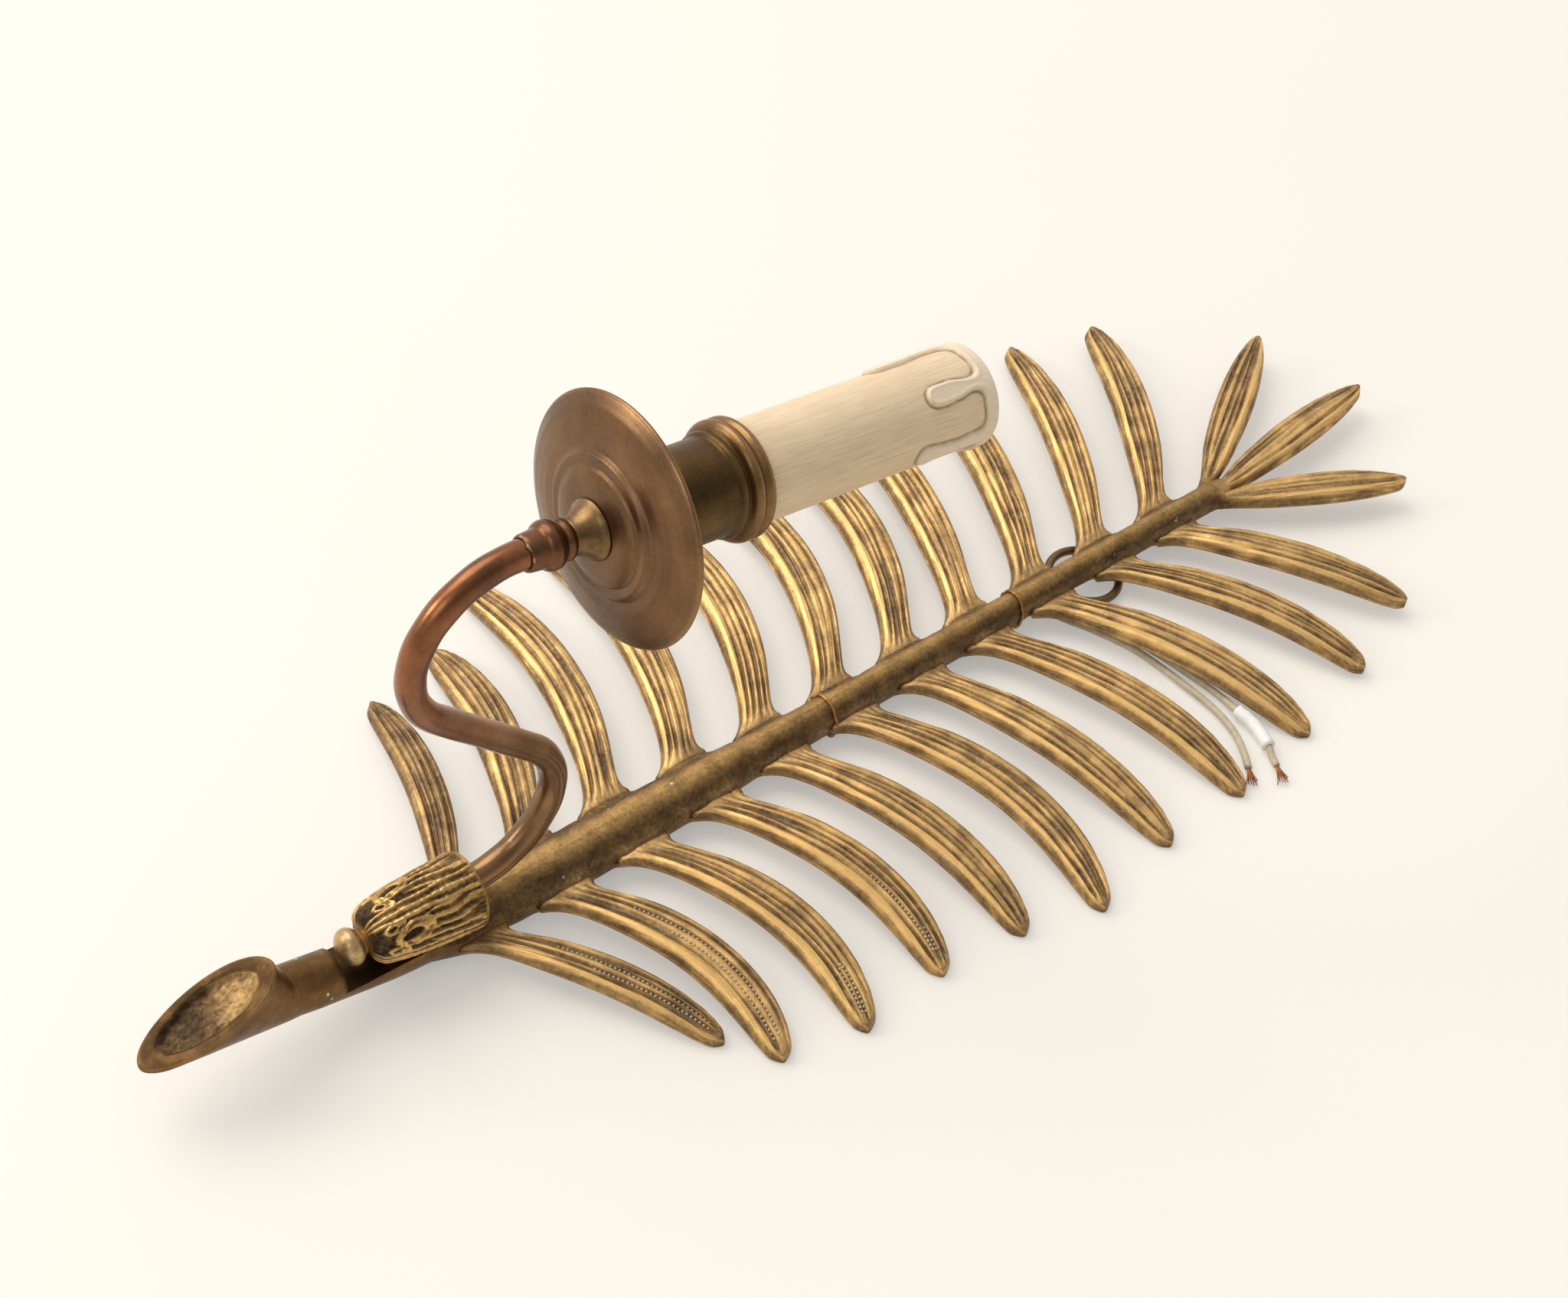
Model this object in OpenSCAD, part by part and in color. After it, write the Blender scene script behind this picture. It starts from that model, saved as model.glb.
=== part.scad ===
// Palm-frond wall lamp with one candle, lying on its back on a table.
// X runs up the frond's stalk, Z points away from the wall, and z = 0 is the wall's plane.

/* [Frond] */
// Leaflets on each side of the stalk
leaflets_per_side = 11; // [8:1:11]
// Distance between neighbouring leaflet roots
leaflet_pitch = 25.4; // [23:0.1:28]
// Width of a leaflet at its root
leaflet_root_w = 10.4; // [9:0.1:12]
// Width of the widest leaflets
leaflet_w = 13.2; // [11:0.1:15]
// Thickness of a leaflet's rim
leaflet_t = 3.4; // [2.6:0.1:4.2]
// Height of the middle ridge above the rim
leaflet_crown = 1.1; // [0.6:0.1:1.8]
// Depth of the grooves between the ridges
groove_depth = 0.9; // [0.4:0.1:1.2]
// Height of a leaflet's middle plane at its root
root_h = 6; // [5.6:0.1:7]
// Height of the arch along a leaflet
leaflet_arch = 3; // [1:0.1:5]
// Reach of the longest leaflet on the right, measured from the stalk's middle
right_reach = 93; // [80:1:100]
// Reach of the longest leaflet on the left, measured from the stalk's middle
left_reach = 107; // [95:1:115]
// Length of the middle leaflet at the frond's tip
end_leaflet_l = 74; // [60:1:85]
// Width of the leaflets at the frond's tip
end_leaflet_w = 11.6; // [9:0.1:13]

/* [Stalk] */
// Length of the stalk past the roots of its last pair of leaflets
stalk_end_l = 21; // [19:0.5:30]
// Height of the stalk's crest above the wall
crest_h = 13.4; // [12:0.1:15]
// Height of the stalk's back face above the wall
back_h = 1.4; // [1.2:0.1:2]
// Radius of the bare round bar below the leaflets
bar_r = 7.1; // [6.6:0.1:7.6]
// Width of the wire channel in the stalk's back
channel_w = 5; // [4.6:0.1:5.4]
// Depth of the wire channel
channel_d = 4.2; // [3.8:0.1:4.6]
// Length of the oblique cut face at the bar's end
cut_l = 40; // [34:0.5:46]
// Width of the oblique cut face
cut_w = 17; // [15:0.5:19]
// Depth of the cast hollow in the cut face
cut_hollow_d = 2.2; // [1:0.1:3]

/* [Arm] */
// Outer diameter of the arm tube
tube_d = 8; // [7.6:0.1:8.4]
// Wall of the arm tube
tube_wall = 1; // [0.8:0.05:1.1]
// Height of the arm tube's straight foot above the wall
tube_foot_h = 21.3; // [20.8:0.1:22]
// Radius of the lower bend, on the tube's axis
lower_bend_r = 23.6; // [20:0.1:28]
// Turn of the lower bend, in degrees
lower_bend_turn = 126; // [115:1:135]
// Length of the straight stretch between the bends
riser_l = 50; // [40:0.5:60]
// Radius of the upper bend, on the tube's axis
upper_bend_r = 24; // [20:0.1:28]
// Angle at which the candle leans away from the stalk's direction
candle_lean = 9.2; // [0:0.1:20]

/* [Bell] */
// Length of the leaf-cast bell
bell_l = 31.5; // [30:0.5:34]
// Radius of the bell's mouth
bell_mouth_r = 11.4; // [10.8:0.1:12]
// Radius of the bell's closed end
bell_end_r = 8.2; // [7.8:0.1:8.6]
// Wall of the bell
bell_wall = 1.8; // [1.4:0.1:2.2]
// Tilt of the bell, mouth down, in degrees
bell_tilt = 6.5; // [5:0.1:8]
// Diameter of the ball on the finial
ball_d = 10.4; // [9:0.1:11]

/* [Candle] */
// Outer diameter of the candle sleeve
sleeve_d = 26; // [25.6:0.1:26.4]
// Wall of the candle sleeve
sleeve_wall = 1.2; // [0.9:0.1:1.5]
// Length of the candle sleeve
sleeve_l = 80; // [74:1:85]
// Radius of the drip pan
pan_r = 31.8; // [28:0.1:35]
// Sheet thickness of the drip pan
pan_t = 0.9; // [0.7:0.1:1.2]
// Diameter of the candle cup's body
cup_d = 25; // [24:0.1:25.4]
// Height of the candle cup, mouth ring included
cup_h = 43; // [38:0.5:48]
// Diameter of the cup's mouth ring
cup_ring_d = 30.8; // [30:0.1:32]
// Wall of the cup
cup_wall = 1; // [0.8:0.1:1.2]

/* [Lampholder] */
// Inner radius of the screw shell for a small-screw bulb
shell_r = 7; // [6.9:0.05:7.1]
// Wall of the screw shell
shell_wall = 0.5; // [0.4:0.05:0.6]
// Length of the screw shell
shell_l = 22; // [20:0.5:24]
// Diameter of the porcelain body
porcelain_d = 21.4; // [20.8:0.1:21.8]
// Length of the porcelain body
porcelain_l = 34; // [32:0.5:38]

/* [Ring and wires] */
// Radius of the hanging ring, to the middle of its wire
ring_r = 10.7; // [9.5:0.1:12]
// Diameter of the ring's wire
ring_wire_d = 2.6; // [2.4:0.1:2.8]
// Thickness of the staple, bent from square wire
staple_wire_d = 1.4; // [1.2:0.1:1.6]
// Diameter of the insulated wires
wire_d = 2.2; // [2:0.1:2.3]
// Diameter of the copper binding wire
tie_d = 1; // [0.8:0.1:1.2]

/* [Hidden] */
// Clearance of pieces that touch within the lamp
fit_gap = 0.05;
eps = 0.01;

// Colours
old_brass = [0.55, 0.43, 0.24];
dark_bronze = [0.38, 0.28, 0.17];
worn_brass = [0.66, 0.50, 0.26];
copper_brown = [0.45, 0.22, 0.14];
pan_bronze = [0.50, 0.34, 0.24];
wax = [0.90, 0.86, 0.76];
steel = [0.60, 0.60, 0.60];
copper = [0.72, 0.42, 0.25];
porcelain = [0.93, 0.92, 0.88];

// Places along the stalk, with the first leaflet's root as the start of the leafy part
first_root_x = -35;
stalk_tip_x = first_root_x + leaflet_pitch * (leaflets_per_side - 1) + stalk_end_l;
wire_exit_x = 164;

// Small helpers
function unit(v) = v / norm(v);
function mix(a, b, t) = a + (b - a) * t;
function ease(t) = t * t * (3 - 2 * t);
function bezier(a, b, c, t) = (1 - t) * (1 - t) * a + 2 * t * (1 - t) * b + t * t * c;
function reversed(list) = [for (k = [len(list) - 1 : -1 : 0]) list[k]];
function peak(list, axis) = max([for (p = list) p[axis]]);
function low(list, axis) = min([for (p = list) p[axis]]);

// A closed skin over rings of points, each ring with the same number of points
module skin(rings) {
    n = len(rings[0]);
    last = len(rings) - 1;
    polyhedron(
        points = [for (ring = rings, p = ring) p],
        faces = [
            [for (k = [0 : n - 1]) k],
            for (i = [0 : last - 1], k = [0 : n - 1])
                [i * n + k, (i + 1) * n + k, (i + 1) * n + (k + 1) % n],
            for (i = [0 : last - 1], k = [0 : n - 1])
                [i * n + k, (i + 1) * n + (k + 1) % n, i * n + (k + 1) % n],
            [for (k = [n : -1 : 1]) last * n + k % n]
        ]
    );
}

// A tube of eight sides swept along a route of points
function sweep_rings(route, radius, sides) = [
    for (i = [0 : len(route) - 1])
        let (
            ahead = route[min(i + 1, len(route) - 1)],
            behind = route[max(i - 1, 0)],
            along = unit(ahead - behind),
            across = unit(cross([0, 0, 1], along)),
            upward = cross(along, across)
        )
        [for (k = [0 : sides - 1])
            let (turn = 360 * (k + 0.5) / sides)
            route[i] + radius * (cos(turn) * across + sin(turn) * upward)]
];

// Leaflet outline: share of the full width along the leaflet
width_steps = [[0, 0.80], [0.12, 0.80], [0.3, 0.94], [0.5, 1], [0.68, 0.98], [0.82, 0.87], [0.92, 0.72],
    [0.97, 0.56], [1, 0.36]];
ridges = 5;

// One cross-section of a leaflet: rim, ridges and grooves on top, a shallow hollow below.
// Relief runs from 0, a plain rounded section at both ends, to 1
function leaf_section(half_w, relief) = let (
        steps = 2 * ridges - 2,
        rim = leaflet_t / 2
    )
    [
        [-half_w, rim * 0.3],
        for (k = [0 : steps])
            let (s = -0.88 + 1.76 * k / steps)
            [s * half_w,
                rim + leaflet_crown * (1 - s * s) * mix(0.5, 1, relief) - (k % 2) * groove_depth * relief],
        [half_w, rim * 0.3],
        [half_w * 0.86, -rim],
        [0, -rim + 0.5 * relief],
        [-half_w * 0.86, -rim]
    ];

// Rings of a leaflet from its flat root to its blunt tip; bow and arch bend its middle
function leaf_rings(root, tip, bow, arch, root_w, full_w) = let (
        bend = (root + tip) / 2 + [2 * bow, 0, 2 * arch]
    )
    [
        for (step = width_steps)
            let (
                t = step[0],
                middle = bezier(root, bend, tip, t),
                along = unit((1 - t) * (bend - root) + t * (tip - bend)),
                level = unit([along[0], along[1], 0]),
                square = [level[1], -level[0], 0] * sign(level[1]),
                across = unit(mix([1, 0, 0], square, ease(min(1, 3 * t)))),
                half_w = mix(root_w / 0.8, full_w, ease(min(1, 2 * t))) * step[1] / 2,
                relief = t < 1 ? min(1, 8 * t) : 0
            )
            [for (p = leaf_section(half_w, relief))
                let (q = middle + p[0] * across + [0, 0, p[1]])
                [q[0], q[1], max(q[2], 0)]]
    ];

// Where the leaflets go; each list runs from the first pair, near the bar, to the pair at the tip
right_share = [0.72, 0.86, 0.92, 0.90, 0.93, 1, 0.94, 0.93, 0.88, 0.80, 0.69];
left_share = [0.72, 0.78, 0.95, 0.93, 0.94, 1, 0.94, 0.94, 0.90, 0.80, 0.72];
right_sweep = [34, 18, 16, 18, 19, 17, 22, 26, 32, 37, 40];
left_sweep = [20, 19, 14, 17, 18, 16, 22, 26, 32, 38, 40];
right_bow = [6, 9, 10, 10, 8, 11, 6, 7, 6, 5.5, 2];
left_bow = [5, 6, 9, 9, 9.5, 12, 9, 6, 6, 4.5, 4];
tip_rise = [0, 0, 0, 0, 0, 0, 0, 0, 0, 2, 4];

function root_x(i) = first_root_x + leaflet_pitch * (i - 1);
function size_share(i) = i == 1 ? 0.8 : i > 9 ? 0.92 : 1;

function leaflet(i, side) = let (
        reach = side > 0 ? left_reach * left_share[i - 1] : right_reach * right_share[i - 1],
        sweep = side > 0 ? left_sweep[i - 1] : right_sweep[i - 1],
        bow = side > 0 ? left_bow[i - 1] : right_bow[i - 1],
        share = size_share(i),
        root = [root_x(i), side * root_y(i), root_h],
        tip = [root_x(i) + sweep, side * reach, leaflet_t / 2 - 1.1 + tip_rise[i - 1]]
    )
    leaf_rings(root, tip, bow, leaflet_arch, leaflet_root_w * share, leaflet_w * share);

// The three straight leaflets at the tip: [direction in plan, share of the length, share of the root width]
end_places = [[32, 0.96, 0.8], [6, 0.92, 1], [-26, 0.81, 0.8]];
end_root_w = 5.6;
end_root_h = root_h + 1;
end_rise = 0.5;
nose_l = 4;
function end_root(k) = [stalk_tip_x + (k == 1 ? nose_l : 0), (1 - k) * 4, end_root_h];
function end_leaflet(k) = let (
        root = end_root(k),
        length = end_leaflet_l * end_places[k][1],
        heading = [cos(end_places[k][0]), sin(end_places[k][0]), 0],
        tip = root + length * heading + [0, 0, end_rise]
    )
    end_rings(root, tip, heading, end_root_w * end_places[k][2]);

end_width_steps = [[0, 0], [0.12, 0.66], [0.3, 0.88], [0.5, 1], [0.7, 0.93], [0.85, 0.72], [0.95, 0.46],
    [1, 0.24]];
function end_rings(root, tip, heading, root_w) = [
    for (step = end_width_steps)
        let (
            square = [-heading[1], heading[0], 0],
            across = unit(mix([0, 1, 0], square, ease(min(1, 3 * step[0])))),
            middle = mix(root, tip, step[0]) + [0, 0, 1.6 * leaflet_arch * step[0] * (1 - step[0])],
            half_w = max(root_w, end_leaflet_w * step[1]) / 2 * (step[0] > 0.9 ? step[1] / 0.5 : 1),
            relief = step[0] < 1 ? min(1, 8 * step[0]) : 0
        )
        [for (p = leaf_section(half_w, relief))
            middle + p[0] * across + [0, 0, p[1]]]
];

// Stalk sizes: [x, crown half width, flange half width, crest height as a share]
stalk_steps = [[-36, 6.6, 7.4, 1.06], [-22, 6.2, 8.4, 1], [3, 6.0, 8.6, 0.99], [37, 5.3, 7.6, 0.98],
    [61, 4.4, 5.8, 0.96], [84, 3.9, 5.2, 0.95], [117, 3.6, 4.8, 0.94], [150, 3.4, 4.6, 0.93],
    [170, 3.3, 4.5, 0.92], [200, 3.2, 4.4, 0.91], [229, 3.0, 4.2, 0.88]];
// Height of the back face along the stalk, raised where the hanging ring lies
back_steps = [[-36, 0], [wire_exit_x - 8, 0], [wire_exit_x - 2, 3.4], [wire_exit_x + 16, 3.4],
    [wire_exit_x + 36, 1.8], [240, 1.8]];
// Middle height of the bare bar, which rises towards its cut end
bar_steps = [[-88, 17.4], [-80, 15.1], [-70, 12.5], [-60, 10], [-50, 8.5]];

function stalk_value(x, column) = lookup(x, [for (s = stalk_steps) [s[0], s[column]]]);
function back_z(x) = back_h + lookup(x, back_steps);
function bar_z(x) = lookup(x, bar_steps);
function root_y(i) = stalk_value(root_x(i), 2) + 1.2;
web_half_w = leaflet_root_w / 2 + 0.5;
flange_top_h = root_h + leaflet_t / 2 + leaflet_crown / 2 + 0.1;
flange_low_h = root_h - leaflet_t / 2 - 0.1;

// Half of the leafy stalk's section, from the crest round to the back
function stalk_half(crown, flange, top, back) = let (foot = flange_top_h + 0.9)
    [
        [0, top],
        [crown * 0.45, top - 0.10 * (top - foot)],
        [crown * 0.82, top - 0.42 * (top - foot)],
        [crown, foot],
        [flange, flange_top_h],
        [flange, max(flange_low_h, back + 0.4)],
        [flange - 1.2, back],
        [flange * 0.5, back],
        [0, back]
    ];
function leafy_half(x, flange) =
    stalk_half(stalk_value(x, 1), flange, crest_h * stalk_value(x, 3), back_z(x));
leafy_stations = [
    for (i = [1 : leaflets_per_side])
        each [
            [root_x(i) - web_half_w, root_y(i)],
            [root_x(i) + web_half_w, root_y(i)],
            [root_x(i) + leaflet_pitch / 2, stalk_value(root_x(i) + leaflet_pitch / 2, 2) - 0.3]
        ]
];
// Half section between two stations, as the casting's skin runs there
function half_at(x) = let (
        k = len([for (s = leafy_stations) if (s[0] < x) s]) - 1,
        a = leafy_stations[k],
        b = leafy_stations[k + 1]
    )
    mix(leafy_half(a[0], a[1]), leafy_half(b[0], b[1]), (x - a[0]) / (b[0] - a[0]));

// Half of a rounded block, for the end that carries the three straight leaflets
function block_half(half_w, low, high) = [
    for (k = [0 : 8])
        let (
            s = sin(22.5 * k),
            c = cos(22.5 * k)
        )
        [half_w * sqrt(abs(s)), (high + low) / 2 + (high - low) / 2 * sign(c) * sqrt(abs(c))]
];
function bar_half(radius, middle) = [for (k = [0 : 8]) radius * [sin(22.5 * k), cos(22.5 * k)] + [0, middle]];
function whole(half) = concat(half, [for (k = [7 : -1 : 1]) [-half[k][0], half[k][1]]]);
function stalk_ring(x, half) = [for (p = whole(half)) [x, p[0], p[1]]];

// The oblique cut face: an oval from its tip, low and far out, to its upper end above the bar
bar_end_x = -88;
cut_rise = 12;
cut_top = [-91, 0, 33];
cut_run = [-sqrt(cut_l * cut_l - cut_rise * cut_rise), 0, -cut_rise];
cut_middle = cut_top + cut_run / 2;
function oval(scale_long, scale_wide, drop) = [
    for (k = [0 : 15])
        let (turn = 22.5 * k)
        cut_middle - cut_run / 2 * cos(turn) * scale_long + [0, cut_w / 2 * sin(turn) * scale_wide, -drop]
];
bar_end_ring = stalk_ring(bar_end_x, bar_half(bar_r + 0.2, bar_z(bar_end_x)));
rim_ring = oval(1, 1, 0);
function cut_ring(t) = [
    for (k = [0 : 15])
        let (
            a = bar_end_ring[k],
            b = rim_ring[k] - [0, 0, 1.6]
        )
        [mix(a[0], b[0], t), mix(a[1], b[1], ease(t)), mix(a[2], b[2], t)]
];

end_low = end_root_h - leaflet_t / 2 - 0.15;
end_high = end_root_h + leaflet_t / 2 + leaflet_crown / 2 + 0.25;
stalk_rings = concat(
    [
        oval(0.3, 0.3, cut_hollow_d),
        oval(0.62, 0.6, cut_hollow_d * 0.9),
        oval(0.78, 0.74, 0.5),
        oval(0.86, 0.82, 0),
        oval(0.98, 0.97, 0),
        oval(1, 1, 0.5),
    ],
    [for (t = [1, 0.8, 0.6, 0.4, 0.2]) cut_ring(t)],
    [for (step = bar_steps) stalk_ring(step[0], bar_half(bar_r, step[1]))],
    [for (s = leafy_stations) stalk_ring(s[0], leafy_half(s[0], s[1]))],
    [
        stalk_ring(stalk_tip_x, block_half(6.6, end_low, end_high)),
        stalk_ring(stalk_tip_x, block_half(1.5, end_low, end_high)),
        stalk_ring(stalk_tip_x + nose_l, block_half(2.8, end_low, end_high))
    ]
);

// Everything stands over the middle of its footprint
leaf_points = [
    for (i = [1 : leaflets_per_side], side = [-1, 1], ring = leaflet(i, side), p = ring) p
];
end_points = [for (k = [0 : 2], ring = end_leaflet(k), p = ring) p];
stalk_points = [for (ring = stalk_rings, p = ring) p];
all_points = concat(leaf_points, end_points, stalk_points);
middle_x = (peak(all_points, 0) + low(all_points, 0)) / 2;
middle_y = (peak(all_points, 1) + low(all_points, 1)) / 2;
module placed() {
    translate([-middle_x, -middle_y, 0]) children();
}

// The bell's axis, from its closed end to its mouth
bell_start = [-66, 0, tube_foot_h + 0.5];
module on_bell() {
    translate(bell_start) rotate([0, 90 + bell_tilt, 0]) children();
}
bell_waist_r = mix(bell_end_r, bell_mouth_r, 0.55);
bell_skirt_r = mix(bell_end_r, bell_mouth_r, 0.85);
function bell_outline(grown) = [
    [0, -grown], [bell_end_r - 3, -grown], [bell_end_r - 0.8 + grown, 1.2], [bell_end_r + 0.4 + grown, 3.6],
    [bell_waist_r + grown, 10], [bell_skirt_r + grown, 20], [bell_mouth_r + grown, bell_l - 1.2],
    [bell_mouth_r - 0.4 + grown, bell_l + grown], [0, bell_l + grown]
];
bell_cavity = [
    [0, 2.6], [bell_end_r - 2.6, 2.6], [bell_waist_r - bell_wall, 10], [bell_skirt_r - bell_wall, 20],
    [bell_mouth_r - bell_wall, bell_l + eps], [0, bell_l + eps]
];

// The arm's run in the lamp's middle plane: foot, lower bend, riser, upper bend, candle's axis
arm_foot_x = -60;
arm_bend_x = -33.6;
upper_bend_turn = lower_bend_turn + candle_lean;
bend_lap = 0.001;
module bend(bend_r, turn, radius) {
    translate([0, 0, bend_r]) rotate([90, 0, 0]) rotate([0, 0, -90])
        rotate_extrude(angle = turn + bend_lap, $fn = 96) translate([bend_r, 0]) circle(r = radius, $fn = 36);
}
module after_bend(bend_r, turn) {
    translate([0, 0, bend_r]) rotate([0, -turn, 0]) translate([0, 0, -bend_r]) children();
}
module at_arm_bend() {
    translate([arm_bend_x, 0, tube_foot_h]) children();
}
module on_riser() {
    at_arm_bend() after_bend(lower_bend_r, lower_bend_turn) children();
}
module after_riser() {
    on_riser() translate([riser_l, 0, 0]) children();
}
module on_candle_axis() {
    after_riser() after_bend(-upper_bend_r, -upper_bend_turn) rotate([0, 90, 0]) children();
}
module arm_run(radius, from_x, past_end) {
    translate([from_x, 0, tube_foot_h]) rotate([0, 90, 0])
        cylinder(r = radius, h = arm_bend_x - from_x, $fn = 36);
    at_arm_bend() bend(lower_bend_r, lower_bend_turn, radius);
    on_riser() rotate([0, 90, 0]) cylinder(r = radius, h = riser_l, $fn = 36);
    after_riser() mirror([0, 0, 1]) bend(upper_bend_r, upper_bend_turn, radius);
    on_candle_axis() cylinder(r = radius, h = past_end, $fn = 36);
}

// Stations along the candle's axis, measured from the end of the upper bend
collar_from = 0.4;
cone_from = 13.2;
pan_from = 20;
cup_from = pan_from + pan_t;
cup_floor = 1.2;
nut_t = 4;
nut_from = cup_from + cup_floor;
carrier_from = nut_from + nut_t + 0.6;
tube_past_bend = carrier_from + 8;
cup_ring_from = cup_from + cup_h - 6;
sleeve_seat = cup_from + cup_h - 5;
sleeve_from = sleeve_seat + 0.3;
sleeve_to = sleeve_from + sleeve_l;
porcelain_to = sleeve_to - 8;
porcelain_from = porcelain_to - porcelain_l;
shell_from = porcelain_to - shell_l;
carrier_r = 5;

// The hanging ring pivots in a staple on the stalk's back
ring_tilt = 5;
staple_x = wire_exit_x + 11.4;
staple_z = 3.2;
staple_loop_r = ring_wire_d / 2 + 0.3;

// The wires on the table, as points of their routes
wire_a_route = [[164, -1.2, 3.6], [165.2, -1.2, 3.6], [167, -3.4, 3.1], [170, -9, 1.7],
    [174.5, -16.5, 1.2], [179.5, -29, 1.2], [181.5, -38.7, 1.2], [182.6, -47.5, 1.2], [183.5, -56, 1.2],
    [183.4, -63, 1.2], [182.2, -69.5, 1.2], [179.6, -75.5, 1.2], [176.6, -80.5, 1.2]];
wire_b_route = [[164, 1.2, 3.6], [165.2, 1.2, 3.6], [168, -1, 3.3], [172.8, -8, 1.7], [177.2, -16, 1.2],
    [182, -27, 1.2], [184.8, -36, 1.2], [186.6, -45, 1.2], [188.2, -54, 1.2], [188.5, -59, 1.4],
    [188.1, -64, 2.2], [188.4, -70.5, 2.2], [186.4, -78.5, 2.2], [185.4, -81, 1.2], [184, -84.5, 1.2]];

// Names of the pieces

// Where the bell sits on the stalk, and what passes through its seat
seat_below_axis = 8.8;
step_behind_bell = 8.2;
wire_hole_x = -46;
wire_hole_r = 3.2;
screw_x = -57;
screw_r = 2.5;
screw_head_r = 4.6;
screw_head_t = 2.8;
washer_t = 0.8;
counterbore_to = 6.4;
screw_top = tube_foot_h - 5.7;
boss_r = 4.2;

// The stalk: one long casting with a wire channel and the bell's seat
module stem() color(dark_bronze) placed() {
    difference() {
        skin(reversed(stalk_rings));
        // Channel for the wires, open at the back
        translate([wire_hole_x - wire_hole_r, -channel_w / 2, -1])
            cube([wire_exit_x + 4 - wire_hole_x + wire_hole_r, channel_w, back_h + channel_d + 1]);
        // Flat seat with a square step behind the finial, hollowed to the bell's round
        on_bell() translate([-30, -15, -step_behind_bell])
            cube([30 + seat_below_axis, 30, step_behind_bell + bell_l + fit_gap]);
        on_bell() rotate_extrude($fn = 64) polygon(bell_outline(fit_gap));
        // Holes for the wires and for the screw that holds the bell
        translate([wire_hole_x, 0, -1]) cylinder(r = wire_hole_r, h = 20, $fn = 32);
        translate([screw_x, 0, -1]) cylinder(r = screw_r + 0.25, h = 20, $fn = 32);
        translate([screw_x, 0, -1]) cylinder(r = screw_head_r + 0.4, h = counterbore_to + 1, $fn = 32);
    }
}

// Leaflets
module leaf(i, side) color(old_brass) placed() {
    rings = leaflet(i, side);
    skin(side > 0 ? rings : reversed(rings));
}
module end_leaf(k) color(old_brass) placed() skin(reversed(end_leaflet(k)));

// Bell, finial and what fastens them
finial_neck_r = tube_d / 2 - tube_wall;
module bell() color(worn_brass) placed() {
    difference() {
        union() {
            on_bell() difference() {
                rotate_extrude($fn = 64) polygon(bell_outline(0));
                rotate_extrude($fn = 64) polygon(bell_cavity);
            }
            // Boss for the fixing screw, inside the bell
            intersection() {
                translate([screw_x, 0, 0]) cylinder(r = boss_r, h = screw_top, $fn = 32);
                on_bell() rotate_extrude($fn = 64) polygon(bell_outline(0));
            }
        }
        translate([screw_x, 0, 0]) cylinder(r = screw_r, h = screw_top + 1, $fn = 32);
        translate([wire_hole_x, 0, 0]) cylinder(r = wire_hole_r, h = tube_foot_h, $fn = 32);
        translate([bell_start[0] - 3, 0, tube_foot_h]) rotate([0, 90, 0])
            cylinder(r = finial_neck_r + fit_gap, h = 8, $fn = 48);
    }
}
finial_neck_l = 12.6;
module finial() color(worn_brass) placed()
    translate([arm_foot_x + 6, 0, tube_foot_h]) rotate([0, -90, 0]) {
        cylinder(r = finial_neck_r, h = finial_neck_l, $fn = 48);
        translate([0, 0, finial_neck_l]) cylinder(r = 3.8, h = 1, $fn = 48);
        translate([0, 0, finial_neck_l + 0.6]) rotate_extrude($fn = 64) polygon([
            [0, 0], for (turn = [-60 : 15 : 90]) [ball_d / 2 * cos(turn), 3.2 + 3.6 * sin(turn)]
        ]);
    }
module fixing_screw() color(steel) placed() translate([screw_x, 0, counterbore_to - washer_t]) {
    translate([0, 0, -screw_head_t]) cylinder(r = screw_head_r - 0.8, h = screw_head_t, $fn = 32);
    cylinder(r = screw_r, h = screw_top - counterbore_to + washer_t, $fn = 32);
}
module fixing_washer() color(steel) placed() translate([screw_x, 0, counterbore_to - washer_t])
    difference() {
        cylinder(r = screw_head_r, h = washer_t, $fn = 32);
        translate([0, 0, -1]) cylinder(r = screw_r, h = washer_t + 2, $fn = 32);
    }

// The S-shaped arm tube
module arm_tube() color(copper_brown) placed() difference() {
    arm_run(tube_d / 2, arm_foot_x, tube_past_bend);
    arm_run(tube_d / 2 - tube_wall, arm_foot_x - eps, tube_past_bend + eps);
    translate([wire_hole_x, 0, tube_foot_h - tube_d]) cylinder(r = wire_hole_r - 0.6, h = tube_d, $fn = 32);
}
tube_r = tube_d / 2;
collar_outline = [
    [tube_r, collar_from], [4.6, 0.8], [4.85, 3.6], [4.9, 5.2], [5.6, 5.6], [6.2, 6.8], [6.2, 8.2],
    [5.6, 9.4], [4.7, 10], [4.7, 10.8], [5.2, 11.2], [5.2, 12.4], [4.6, cone_from], [tube_r, cone_from]
];
module collar() color(copper_brown) placed() on_candle_axis()
    rotate_extrude($fn = 64) polygon(collar_outline);
cone_outline = [
    [tube_r, cone_from], [4.4, cone_from], [4.6, 14.4], [5.4, 16.4], [6.6, 18.2], [7.6, 19.4],
    [7.8, pan_from], [tube_r, pan_from]
];
module cone_spacer() color(worn_brass) placed() on_candle_axis()
    rotate_extrude($fn = 64) polygon(cone_outline);

// Drip pan: a spun sheet with two steps and a turned edge
pan_outer = [
    [tube_r, pan_from], [12.6, pan_from], [15.4, pan_from + 0.9], [18.4, pan_from + 2], [19.2, pan_from + 3],
    [24, pan_from + 3.7], [28.5, pan_from + 5], [pan_r - 0.8, pan_from + 6.4], [pan_r, pan_from + 7]
];
pan_outline = concat(pan_outer, [for (p = reversed(pan_outer)) p + [0, pan_t]]);
module drip_pan() color(pan_bronze) placed() on_candle_axis() rotate_extrude($fn = 96) polygon(pan_outline);

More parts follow.
